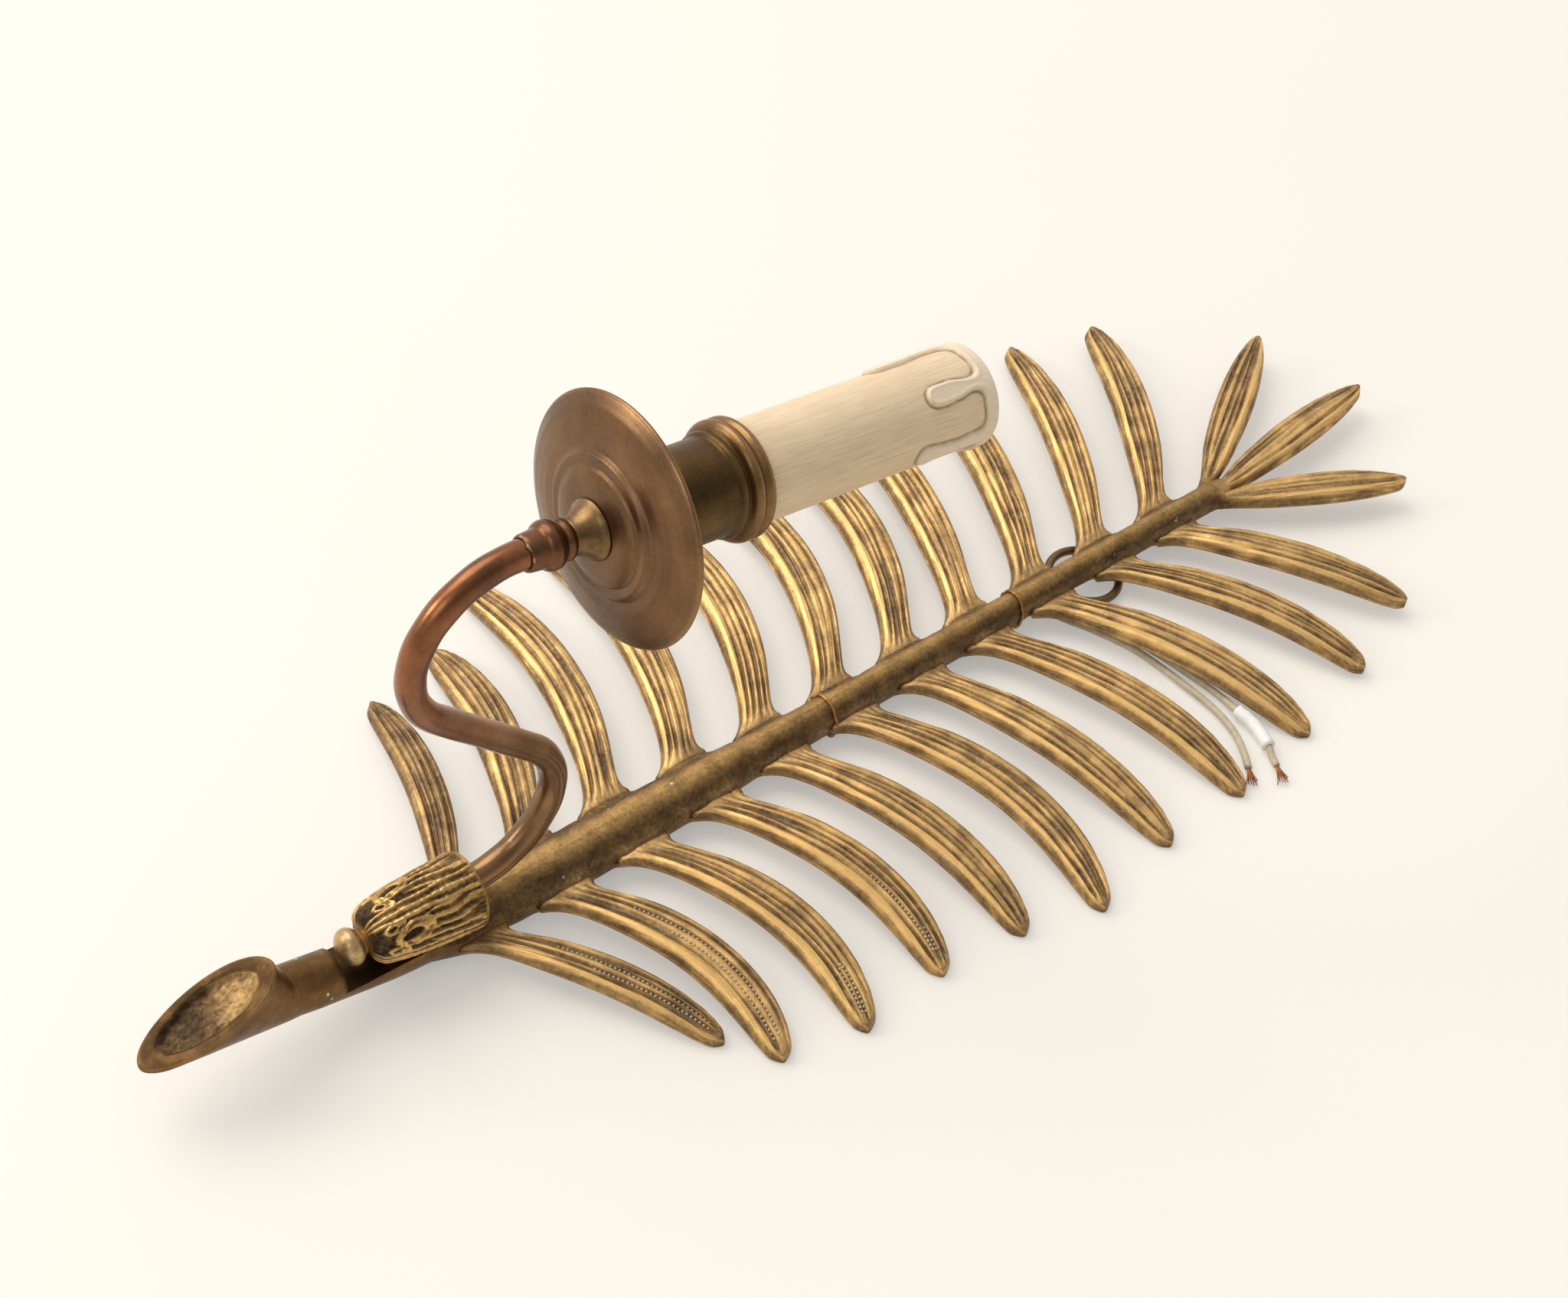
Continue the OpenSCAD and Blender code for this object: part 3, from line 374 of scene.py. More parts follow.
tie_copper = aged_metal("tie_copper", (0.20, 0.09, 0.03), (0.55, 0.27, 0.09), (0.78, 0.45, 0.17), wear=0.6,
                        relief=0.0, rough=(0.28, 0.45), grain=0.1)
bare_copper = aged_metal("bare_copper", (0.20, 0.07, 0.03), (0.50, 0.20, 0.09), (0.72, 0.36, 0.18), wear=0.55,
                         relief=0.0, rough=(0.3, 0.5), grain=0.1)
steel = aged_metal("steel", (0.16, 0.15, 0.14), (0.42, 0.41, 0.39), (0.62, 0.61, 0.58), wear=0.5, relief=0.0,
                   rough=(0.3, 0.5), grain=0.08)
porcelain = plain("porcelain", (0.84, 0.82, 0.76), (0.88, 0.87, 0.82), 300, 0.2, bump=0.04)
old_insulation = plain("old_insulation", (0.46, 0.38, 0.25), (0.62, 0.54, 0.39), 500, 0.55, bump=0.15)
white_sleeve = plain("white_sleeve", (0.82, 0.81, 0.78), (0.90, 0.89, 0.87), 700, 0.5, bump=0.15)


def wax_material():
    """Cream wax with fine streaks along the candle and brown lines at the foot of the drips."""
    material, tree, shader = new_material("wax")
    where = add(tree, "TexCoord").outputs["Object"]
    line = add(tree, "Attribute", attribute_name="outline").outputs["Fac"]
    lengthwise = add(tree, "VectorRotate", {"Vector": where, "Angle": -0.1606}, rotation_type="Y_AXIS").outputs[0]
    streak = speckle(tree, lengthwise, 1900, 5, 0.72, (0.05, 1, 1))
    soft = speckle(tree, where, 45, 3)
    grit = speckle(tree, where, 2600, 3, 0.6)
    value = maths(tree, "MULTIPLY_ADD", soft, 0.25, maths(tree, "MULTIPLY", streak, 0.75))
    colour = ramp(tree, value, [(0.32, (0.60, 0.445, 0.275)), (0.50, (0.745, 0.57, 0.37)), (0.68, (0.84, 0.675, 0.465))])
    top = add(tree, "Attribute", attribute_name="relief").outputs["Fac"]
    colour = blend_colour(tree, maths(tree, "MULTIPLY", top, 0.6), colour, (0.84, 0.73, 0.57))
    brown = maths(tree, "MULTIPLY", line, span(tree, speckle(tree, where, 380, 4), 0.25, 0.6, 0.35, 1.0))
    colour = blend_colour(tree, maths(tree, "MULTIPLY", brown, 0.95), colour, (0.20, 0.115, 0.045))
    pits = maths(tree, "MULTIPLY", span(tree, grit, 0.60, 0.70), maths(tree, "MULTIPLY_ADD", top, 0.4, 0.12))
    colour = blend_colour(tree, pits, colour, (0.30, 0.21, 0.12))
    tree.links.new(colour, shader.inputs["Base Color"])
    tree.links.new(span(tree, streak, 0.3, 0.7, 0.62, 0.48), shader.inputs["Roughness"])
    height = maths(tree, "MULTIPLY_ADD", streak, 0.7, maths(tree, "MULTIPLY", grit, -0.35))
    bump = add(tree, "Bump", {"Height": height, "Strength": 0.28, "Distance": 0.0005})
    tree.links.new(bump.outputs[0], shader.inputs["Normal"])
    shader.inputs["Subsurface Weight"].default_value = 0.08
    shader.inputs["Subsurface Radius"].default_value = (0.004, 0.003, 0.002)
    return material


wax = wax_material()


# Free wires first: the same points as their solids
WIRE_A = [(164, -1.2, 3.6), (165.2, -1.2, 3.6), (167, -3.4, 3.1), (170, -9, 1.7), (174.5, -16.5, 1.2),
          (179.5, -29, 1.2), (181.5, -38.7, 1.2), (182.6, -47.5, 1.2), (183.5, -56, 1.2), (183.4, -63, 1.2),
          (182.2, -69.5, 1.2), (179.6, -75.5, 1.2), (176.6, -80.5, 1.2)]
WIRE_B = [(164, 1.2, 3.6), (165.2, 1.2, 3.6), (168, -1, 3.3), (172.8, -8, 1.7), (177.2, -16, 1.2), (182, -27, 1.2),
          (184.8, -36, 1.2), (186.6, -45, 1.2), (188.2, -54, 1.2), (188.5, -59, 1.4), (188.1, -64, 2.2),
          (188.4, -70.5, 2.2), (186.4, -78.5, 2.2), (185.4, -81, 1.2), (184, -84.5, 1.2)]


def strands(name, route, node):
    """The frayed copper strands at a wire's bare end."""
    p = np.asarray(route, float)
    heading = unit(p[-1] - p[-2])
    across = unit(np.cross(heading, [0, 0, 1.0]))
    rings, faces, total = [], [], 0
    for i in range(13):
        turn = 2 * math.pi * i / 13 * 2.4
        spread = 0.35 + 0.6 * (i % 4) / 3
        reach = 4.6 + 2.2 * ((i * 5) % 7) / 6
        t = np.linspace(0, 1, 9)[:, None]
        side = across * math.cos(turn) + np.array([0, 0, 1.0]) * abs(math.sin(turn)) * 0.5
        curl = across * math.sin(3.1 * i) * 0.9
        line = p[-1] + heading * (reach * t - 0.6) + side * (0.35 + spread * 1.6 * t ** 1.6) + curl * t ** 2
        line[:, 2] = np.maximum(line[:, 2] - 0.5 * t[:, 0], 0.25)
        ring = tube_rings(line, 0.17, 6)
        faces += [tuple(total + k for k in f) for f in ring_faces(9, 6)]
        total += 54
        rings.append(ring.reshape(-1, 3))
    return make(name, np.vstack(rings), faces, bare_copper, replaced=node, slot="copper")


def free_wire(name, route, node):
    line = smooth_route(route)
    piece = tube(name, line, 1.1, 16, old_insulation, replaced=node, slot="insulation")
    return piece


frayed_a = strands("frayed_end_a", WIRE_A, "wire_end_a")
frayed_b = strands("frayed_end_b", WIRE_B, "wire_end_b")
sleeve_line = smooth_route(WIRE_B)[60:73]
puckers = 2.0 + 0.1 * np.cos(np.arange(13) * 2.1)
slip_on = tube("slip_on_sleeve", sleeve_line, puckers, 20, white_sleeve, replaced="wire_sleeve", slot="white_sleeve")
free_wire("free_wire_a", WIRE_A, "supply_wire_a")
free_wire("free_wire_b", WIRE_B, "supply_wire_b")


# Leaflets
PITCH, FIRST_X = 25.4, -35
STALK = [(-36, 6.6, 7.4, 1.06), (-22, 6.2, 8.4, 1), (3, 6.0, 8.6, 0.99), (37, 5.3, 7.6, 0.98), (61, 4.4, 5.8, 0.96),
         (84, 3.9, 5.2, 0.95), (117, 3.6, 4.8, 0.94), (150, 3.4, 4.6, 0.93), (170, 3.3, 4.5, 0.92),
         (200, 3.2, 4.4, 0.91), (229, 3.0, 4.2, 0.88)]
CREST, BACK, RIM = 13.4, 1.4, 1.7
REACH = {1: (107, (0.72, 0.78, 0.95, 0.93, 0.94, 1, 0.94, 0.94, 0.90, 0.80, 0.72)),
         -1: (93, (0.72, 0.86, 0.92, 0.90, 0.93, 1, 0.94, 0.93, 0.88, 0.80, 0.69))}
SWEEP = {1: (20, 19, 14, 17, 18, 16, 22, 26, 32, 38, 40), -1: (34, 18, 16, 18, 19, 17, 22, 26, 32, 37, 40)}
BOW = {1: (5, 6, 9, 9, 12, 15, 12, 6, 6, 4.5, 4), -1: (3.5, 9, 10, 9, 8, 11, 6, 7, 6, 5.5, 2)}
TIP_RISE = (0, 0, 0, 0, 0, 0, 0, 0, 0, 2, 4)
WIDTHS = [(0, 0.80), (0.12, 0.80), (0.3, 0.94), (0.5, 1), (0.68, 0.97), (0.82, 0.85), (0.92, 0.65), (0.97, 0.46),
          (1, 0.28)]
END_WIDTHS = [(0, 0.4), (0.12, 0.66), (0.3, 0.88), (0.5, 1), (0.7, 0.93), (0.85, 0.72), (0.95, 0.46), (1, 0.28)]


def root_x(i):
    return FIRST_X + PITCH * (i - 1)


def stalk(x, column):
    return np.interp(x, [s[0] for s in STALK], [s[column] for s in STALK])


def root_y(i):
    return stalk(root_x(i), 2) + 1.2


GROOVES = ((-0.40, 1.0), (-0.06, 0.85), (0.27, 1.0), (0.60, 0.75))


def bead_at(centre, radius):
    """A small ball of 20 points."""
    rows = [centre + [0, 0, -radius]]
    for rise, wide in ((-0.6, 0.8), (0, 1), (0.6, 0.8)):
        a = np.arange(6) * np.pi / 3
        rows += [centre + radius * np.array([wide * math.cos(b), wide * math.sin(b), rise]) for b in a]
    rows.append(centre + [0, 0, radius])
    faces = [(0, 1 + (k + 1) % 6, 1 + k) for k in range(6)]
    for row in (0, 6):
        faces += [(1 + row + k, 1 + row + (k + 1) % 6, 7 + row + (k + 1) % 6, 7 + row + k) for k in range(6)]
    faces += [(19, 13 + k, 13 + (k + 1) % 6) for k in range(6)]
    return rows, faces


def ribbed_leaf(name, middle, across, half_w, near, seed, beaded, replaced, tip_at_table, shine=1.0,
                carve=1.0):
    """A leaflet's skin: uneven ridges on top beside a smooth band at the near edge, thick rounded sides and a
    shallow hollow below. Rows of cast beads lie in the grooves named in beaded."""
    rows = len(middle)
    v = np.sin(np.linspace(-0.5, 0.5, 53) * np.pi * 0.94) / math.sin(0.47 * np.pi)
    along = np.concatenate([[0], np.cumsum(np.linalg.norm(np.diff(middle, axis=0), axis=1))])
    to_end = along[-1] - along
    V = np.broadcast_to(v, (rows, len(v)))
    U = V * near
    width = half_w[:, None]

    def drift(g, stretch, other):
        return np.array([noise.noise(Vector((a / stretch, 3.7 * g + seed, other))) for a in along])

    groove = np.zeros(V.shape)
    centres = []
    for g, (at, deep) in enumerate(GROOVES):
        centre = near * (at + 0.06 * math.sin(seed * 3.1 + 2 * g)) + 0.11 * drift(g, 26, 1.3)
        depth = carve * np.clip(deep * (0.9 + 1.3 * drift(g, 30, 9.1)), 0.10, 1.15)[:, None]
        off = (V - centre[:, None]) * width
        groove += depth * np.exp(-(off / (0.50 + 0.22 * drift(g, 15, 4.4)[:, None])) ** 2)
        centres.append(centre)
    fine = 0.07 * np.cos(V * width * 2 * np.pi / 0.95 + 4 * drift(9, 20, 2.2)[:, None])
    fade = ease(to_end / 6.0)[:, None] * ease((along - 1) / 9.0)[:, None]
    band = np.exp(-((U + 0.66) / 0.14) ** 2) * ease((along - 3) / 14.0)[:, None]
    top = RIM + 0.88 * (1 - V ** 2) + 0.25 * band - (0.95 * groove - fine) * fade
    top = top - 0.5 * np.exp(-along / 3.0)[:, None]
    edge = np.minimum(width * (1 - np.abs(V)), to_end[:, None] + 0.02)
    round_r = 1.15 + 0.55 * ease((-U - 0.4) / 0.4)
    drop = np.where(edge < round_r, round_r - np.sqrt(np.maximum(round_r ** 2 - (round_r - edge) ** 2, 0)), 0)
    top = top - drop
    side = np.array([(1.02, 0.15), (1.03, -0.45), (0.99, -1.1), (0.9, -1.6)])
    under_v = np.linspace(0.75, -0.75, 7)
    profile_v = np.concatenate([V, np.broadcast_to(side[:, 0], (rows, 4)), np.broadcast_to(under_v, (rows, 7)),
                                np.broadcast_to(-side[::-1, 0], (rows, 4))], axis=1)
    under = np.broadcast_to(-RIM + 0.55 * (1 - (under_v / 0.9) ** 2), (rows, 7))
    profile_z = np.concatenate([top, np.broadcast_to(side[:, 1], (rows, 4)), under,
                                np.broadcast_to(side[::-1, 1], (rows, 4))], axis=1)
    points = (middle[:, None] + profile_v[..., None] * half_w[:, None, None] * across[:, None]
              + profile_z[..., None] * np.array([0, 0, 1.0]))
    rough = wobble(points, 5.0, seed) * 0.13 + wobble(points, 1.5, seed + 3) * 0.07
    points[..., 2] += rough * np.where(profile_z > -1, 1, 0)
    if tip_at_table:
        points[..., 2] = np.maximum(points[..., 2], 0)
    columns = profile_v.shape[1]
    slope = ease((-U - 0.74) / 0.16) + ease((U - 0.80) / 0.12)
    # Colour value: ridges light, grooves dark with patina, the rims' outer slopes darker, and a painted highlight
    # along the smooth band at the near edge
    patina_and_painted_light = 0.56 + 0.40 * band + 0.9 * fine - 0.95 * groove * fade - 0.34 * slope
    relief = np.full((rows, columns), 0.12)
    relief[:, :53] = patina_and_painted_light
    relief[:, 53:57] = (0.30, 0.25, 0.16, 0.08)
    relief[:, -4:] = (0.08, 0.16, 0.25, 0.30)
    relief += 0.20 * wobble(points, 8.0, seed + 5)
    relief *= mix(0.45, 1, ease((to_end - 0.6) / 3.0))[:, None]
    relief *= mix(0.50, 1, ease(along / 12.0))[:, None] * shine
    across_at = profile_v * width + 20 * seed
    along_at = np.broadcast_to(along[:, None], (rows, columns))
    points = points.reshape(-1, 3)
    faces = ring_faces(rows, columns)
    beads = []
    for first, last, g in beaded:
        for s in np.arange(first * along[-1], last * along[-1], 1.32):
            beads.append((s, g))
        if g == 1.5:
            beads = [(first * along[-1] + 2.2 - 2.2 * math.sin(f * math.pi), 1 + f) for f in np.linspace(0, 1, 6)]
    balls = []
    for s, g in beads:
        centre_v = np.interp(s, along, mix(centres[int(g)], centres[min(int(g) + 1, 3)], g % 1))
        row = int(np.interp(s, along, np.arange(rows)))
        z = np.interp(centre_v, v, top[row])
        at = [np.interp(s, along, (middle + across * (centre_v * half_w)[:, None])[:, a]) for a in range(3)]
        ball, ball_faces = bead_at(np.array(at) + [0, 0, z + 0.12], 0.42)
        start = len(points) + 20 * len(balls)
        faces += [tuple(start + k for k in f) for f in ball_faces]
        balls.append(ball)
    extra = 20 * len(balls)
    values = {"relief": np.concatenate([np.clip(relief, 0, 1).ravel(), np.full(extra, 0.8)]),
              "along": np.concatenate([along_at.ravel(), np.zeros(extra)]),
              "across": np.concatenate([across_at.ravel(), np.zeros(extra)]),
              "bead": np.concatenate([np.zeros(rows * columns), np.ones(extra)])}
    if extra:
        points = np.vstack([points, np.array(balls).reshape(-1, 3)])
    return make(name, points, faces, leaf_brass, replaced=replaced, slot="old_brass", values=values)


BEADED = {(1, -1): ((0.46, 0.93, 1), (0.30, 0.93, 2)), (2, -1): ((0.42, 0.93, 1), (0.26, 0.93, 2)),
          (3, -1): ((0.78, 0.79, 1.5), (0.82, 0.95, 1), (0.82, 0.95, 2)), (4, -1): ((0.60, 0.93, 1), (0.84, 0.93, 2))}


# How much lighter or darker some leaflets are coloured, on the left and on the right
SHINE = {1: {1: 0.42, 2: 0.66, 3: 0.90, 4: 0.95}, -1: {1: 1.0, 2: 1.1, 3: 1.15, 4: 1.15, 9: 1.2, 10: 1.25, 11: 1.25}}


def leaflet(i, side):
    reach = REACH[side][0] * REACH[side][1][i - 1]
    share = 0.8 if i == 1 else 0.92 if i > 9 else 1
    root = np.array([root_x(i), side * root_y(i), 6.0])
    tip = np.array([root_x(i) + SWEEP[side][i - 1], side * reach, RIM - 1.1 + TIP_RISE[i - 1]])
    bend = (root + tip) / 2 + np.array([2 * BOW[side][i - 1], 0, 6])
    t = 1 - (1 - np.linspace(0, 1, 110)) ** 1.25
    middle = (((1 - t) ** 2)[:, None] * root + (2 * t * (1 - t))[:, None] * bend + (t * t)[:, None] * tip)
    heading = (1 - t)[:, None] * (bend - root) + t[:, None] * (tip - bend)
    heading[:, 2] = 0
    heading = unit(heading)
    square = np.stack([heading[:, 1], -heading[:, 0], 0 * t], axis=1) * np.sign(heading[:, 1:2])
    across = unit(mix(np.array([1.0, 0, 0]), square, ease(np.minimum(1, 3 * t))[:, None]))
    half_w = mix(10.4 * share / 0.8, 13.2 * share, ease(np.minimum(1, 2 * t))) * steps(t, WIDTHS) / 2
    length = np.linalg.norm(tip - root)
    rest = np.clip((1 - t) * length / 3.2, 0, 1)
    half_w *= np.sqrt(np.clip(1 - (1 - rest) ** 2, 0.04, 1))
    # The skin flares into the stalk and starts a little inside it
    half_w += 3.2 * np.exp(-np.linalg.norm(middle - root, axis=1) / 2.6)
    start = middle[:1] - np.array([[0, side * 2.2, 0]])
    middle = np.vstack([start, middle])
    across = np.vstack([across[:1], across])
    half_w = np.concatenate([half_w[:1], half_w])
    if side < 0:
        across = -across
    name = f"leaf_{'left' if side > 0 else 'right'}_{i}"
    return ribbed_leaf("ribbed_" + name, middle, across, half_w, side, i * 1.7 + side * 0.6,
                       BEADED.get((i, side), ()), name, i < 10, SHINE[side].get(i, 1.06))


for number in range(1, 12):
    for way in (1, -1):
        leaflet(number, way)

for k, (turn, share, node) in enumerate(((32, 0.96, "leaf_end_left"), (6, 0.92, "leaf_end_middle"),
                                         (-26, 0.81, "leaf_end_right"))):
    root = np.array([240.0 + (4 if k == 1 else 0), (1 - k) * 4.0, 7.0])
    course = np.array([math.cos(math.radians(turn)), math.sin(math.radians(turn)), 0])
    t = 1 - (1 - np.linspace(0, 1, 100)) ** 1.2
    span_l = 74 * share
    middle = root + t[:, None] * (span_l * course + np.array([0, 0, 0.5])) + (4.8 * t * (1 - t))[:, None] * [0, 0, 1]
    square = np.array([-course[1], course[0], 0])
    across = unit(mix(np.array([0, 1.0, 0]), square, ease(np.minimum(1, 3 * t))[:, None]))
    half_w = 11.6 * steps(t, END_WIDTHS) / 2 * 1.0
    rest = np.clip((1 - t) * span_l / 3.0, 0, 1)
    half_w *= np.sqrt(np.clip(1 - (1 - rest) ** 2, 0.04, 1))
    middle = np.vstack([middle[:1] - course * 2.5, middle])
    across = -np.vstack([across[:1], across])
    half_w = np.concatenate([half_w[:1], half_w])
    ribbed_leaf("ribbed_" + node, middle, across, half_w, -1, 31 + k, (), node, False, 1.15, (0.8, 0.7, 0.4)[k])


# Stalk
BAR = [(-88, 17.4), (-80, 15.1), (-70, 12.5), (-60, 10), (-50, 8.5)]
BACK_STEPS = [(-36, 0), (156, 0), (162, 3.4), (180, 3.4), (200, 1.8), (240, 1.8)]
CUT_TOP = np.array([-91.0, 0, 33])
CUT_RUN = np.array([-math.sqrt(40 ** 2 - 12 ** 2), 0, -12.0])


def resample(half, count=65):
    """The half section as an even line of points, with its corners softened."""
    p = np.asarray(half, float)
    for _ in range(2):
        q = [p[0]]
        for a, b in zip(p[:-1], p[1:]):
            q += [mix(a, b, 0.25), mix(a, b, 0.75)]
        q.append(p[-1])
        p = np.array(q)
    d = np.concatenate([[0], np.cumsum(np.linalg.norm(np.diff(p, axis=0), axis=1))])
    s = np.linspace(0, d[-1], count)
    return np.stack([np.interp(s, d, p[:, 0]), np.interp(s, d, p[:, 1])], axis=1)


def leafy_half(x):
    crown, flange, top = stalk(x, 1), stalk(x, 2) - 0.3, CREST * stalk(x, 3)
    i = round((x - FIRST_X) / PITCH) + 1
    if 1 <= i <= 11:
        near = abs(x - root_x(i))
        flange = mix(flange, root_y(i), ease((9.0 - near) / 4.5))
    back = BACK + np.interp(x, [b[0] for b in BACK_STEPS], [b[1] for b in BACK_STEPS])
    high = 8.35
    foot = high + 0.9
    return [(0, top), (crown * 0.45, top - 0.10 * (top - foot)), (crown * 0.82, top - 0.42 * (top - foot)),
            (crown, foot), (flange, high), (flange, max(4.2, back + 0.4)), (flange - 1.2, back), (flange * 0.5, back),
            (0, back)]


def bar_half(radius, middle):
    a = np.linspace(0, np.pi, 17)
    return np.stack([radius * np.sin(a), middle + radius * np.cos(a)], axis=1)


def block_half(half_w, low, high):
    a = np.linspace(0, np.pi, 17)
    s, c = np.sin(a), np.cos(a)
    return np.stack([half_w * np.sqrt(np.abs(s)), (high + low) / 2 + (high - low) / 2 * np.sign(c) * np.sqrt(np.abs(c))],
                    axis=1)


def section(x, half):
    h = resample(half)
    full = np.vstack([h, h[-2:0:-1] * [-1, 1]])
    return np.column_stack([np.full(len(full), float(x)), full])


def oval(share, drop, ragged=0.0):
    """A ring on the cut face, a little broader at its upper end."""
    a = np.linspace(0, 2 * np.pi, 128, endpoint=False)
    edge = share * (1 + ragged * (np.sin(5 * a + 1) * 0.5 + np.sin(11 * a) * 0.5))
    p = CUT_TOP + CUT_RUN / 2 - CUT_RUN / 2 * np.cos(a)[:, None] * edge[:, None]
    p[:, 1] += 8.5 * np.sin(a) * edge * (1 + 0.10 * np.cos(a))
    p[:, 2] -= drop
    return p


def make_stalk():
    rings = [oval(share, 1.75) for share in np.linspace(0.02, 0.60, 22)]
    inner = len(rings)
    rings += [oval(share, drop, 0.03) for share, drop in ((0.63, 1.6), (0.66, 1.2), (0.69, 0.7), (0.72, 0.25))]
    rings += [oval(share, drop) for share, drop in ((0.76, 0.03), (0.85, 0.0), (0.93, 0.0), (0.975, 0.04), (0.99, 0.2),
                                                    (1.0, 0.5))]
    face = len(rings)
    end = section(-88, bar_half(7.3, 17.4))
    rim = oval(1, 1.6)
    for t in (1, 0.93, 0.86, 0.78, 0.7, 0.6, 0.5, 0.4, 0.3, 0.2, 0.1):
        ring = mix(end, rim, t)
        ring[:, 1] = mix(end[:, 1], rim[:, 1], ease(t))
        rings.append(ring)
    for x in np.arange(-88, -49, 2.0):
        rings.append(section(x, bar_half(7.1, steps(x, BAR))))
    for t in np.linspace(0.1, 0.9, 6):
        a, b = section(-50, bar_half(7.1, 8.5)), section(-40.7, leafy_half(-40.7))
        rings.append(mix(a, b, ease(t)))
    for x in np.arange(-40.7, 236, 1.3):
        rings.append(section(x, leafy_half(x)))
    low, high = 5.15, 9.5
    last = section(236, leafy_half(236))
    block = section(240, block_half(6.6, low, high))
    for t in (0.35, 0.7, 1.0):
        rings.append(mix(last, block, ease(t)))
    rings.append(section(240.8, block_half(6.2, low, high)))
    rings.append(section(241, block_half(4.0, low, high)))
    rings.append(section(244, block_half(2.8, low, high)))
    points = np.array(rings)
    shape = points.shape
    grain = wobble(points, 3.0) * 0.16 + wobble(points, 9.0, 2) * 0.22
    centre = points.mean(axis=1, keepdims=True)
    out = points - centre
    out[..., 0] *= 0
    out /= np.maximum(np.linalg.norm(out, axis=-1, keepdims=True), 1e-6)
    hollow = np.arange(shape[0]) < face
    bottom = (points[..., 2] < 5.5) & (points[..., 0] > -50)
    smooth = mix(0.25, 1, ease((points[..., 0] + 58) / 14))
    points += out * (grain * smooth * np.where(hollow[:, None] | bottom, 0, 1))[..., None]
    pitted = points[:inner + 2]
    pitted[..., 2] += wobble(pitted, 2.4, 5) * 0.45 + wobble(pitted, 1.0, 6) * 0.35
    x, z = points[..., 0], points[..., 2]
    top = np.array([ring[:, 2].max() for ring in points])[:, None]
    # Brighter along the crest, and the half on +Y, the side towards the lamps, painted a quarter lighter: painted
    # light
    crest_and_lit_side = np.clip(0.98 - 0.33 * (top - z), 0.38, 1) * (1 + 0.25 * (points[..., 1] > 0))
    crest_and_lit_side = np.maximum(crest_and_lit_side, 0.46 * ease((np.abs(points[..., 1]) - stalk(x, 1) - 0.6) / 0.8) * (z > 6.5))
    relief = np.where(x > -52, crest_and_lit_side, 0.62)
    relief[:face] = 0.12
    relief[face - 3:face] = ((0.45,), (1.0,), (0.7,))
    upper_end = ease((points[:inner + 4, :, 0] + 118) / 22)
    relief[:inner + 4] = mix(0.10, 0.95, upper_end) + 0.22 * wobble(points[:inner + 4], 1.2, 7)
    order = ring_faces(shape[0], shape[1])
    piece = make("cast_stalk", points.reshape(-1, 3), [f[::-1] for f in order], stem_bronze, replaced="stem",
                 slot="dark_bronze", values={"relief": np.clip(relief, 0, 1)}, flat_angle=38)
    piece.data.materials.append(bar_bronze)
    piece.data.materials.append(hollow_bronze)
    part_of = np.zeros(len(piece.data.polygons), int)
    ring_of = np.array([polygon.vertices[0] // shape[1] for polygon in piece.data.polygons])
    middle_x = np.array([(polygon.center.x + MIDDLE[0] * 0.001) * 1000 for polygon in piece.data.polygons])
    part_of[middle_x < -53] = 1
    part_of[ring_of < inner + 3] = 2
    piece.data.polygons.foreach_set("material_index", part_of)
    return piece


def cut(piece, corner_low, corner_high, matrix):
    """Takes a box away from a piece; the corners are in millimetres, in the space of the matrix."""
    mesh = bpy.data.meshes.new("cutter")
    lows, highs = np.array(corner_low, float), np.array(corner_high, float)
    corners = [[(lows, highs)[(n >> a) & 1][a] for a in range(3)] for n in range(8)]
    points = [matrix @ Vector(c) for c in corners]
    quads = [(0, 2, 3, 1), (4, 5, 7, 6), (0, 1, 5, 4), (2, 6, 7, 3), (0, 4, 6, 2), (1, 3, 7, 5)]
    mesh.from_pydata(place([tuple(p) for p in points]).tolist(), [], quads)
    cutter = bpy.data.objects.new("cutter", mesh)
    bpy.context.scene.collection.objects.link(cutter)
    modifier = piece.modifiers.new("cut", "BOOLEAN")
    modifier.object = cutter
    modifier.operation = "DIFFERENCE"
    modifier.solver = "EXACT"
    shaped = bpy.data.meshes.new_from_object(piece.evaluated_get(bpy.context.evaluated_depsgraph_get()))
    piece.modifiers.clear()
    piece.data = shaped
    bpy.data.objects.remove(cutter)


BELL_START = np.array([-66.0, 0, 21.8])
TILT = math.radians(6.5)
BELL_AXIS = np.array([math.cos(TILT), 0, -math.sin(TILT)])
on_bell = Matrix.Translation(Vector(BELL_START)) @ Matrix.Rotation(math.pi / 2 + TILT, 4, "Y")
stalk_piece = make_stalk()
cut(stalk_piece, (-30, -15, -8.2), (8.8, 15, 31.55), on_bell)
cut(stalk_piece, (-49.2, -2.5, -1), (168, 2.5, 5.6), Matrix.Identity(4))
for polygon in stalk_piece.data.polygons:
    if polygon.material_index == 0 and polygon.center.x < -0.131:
        polygon.material_index = 1


# Bell, with leaves in relief
def bump_at(distance, width):
    return np.exp(-(distance / width) ** 2)


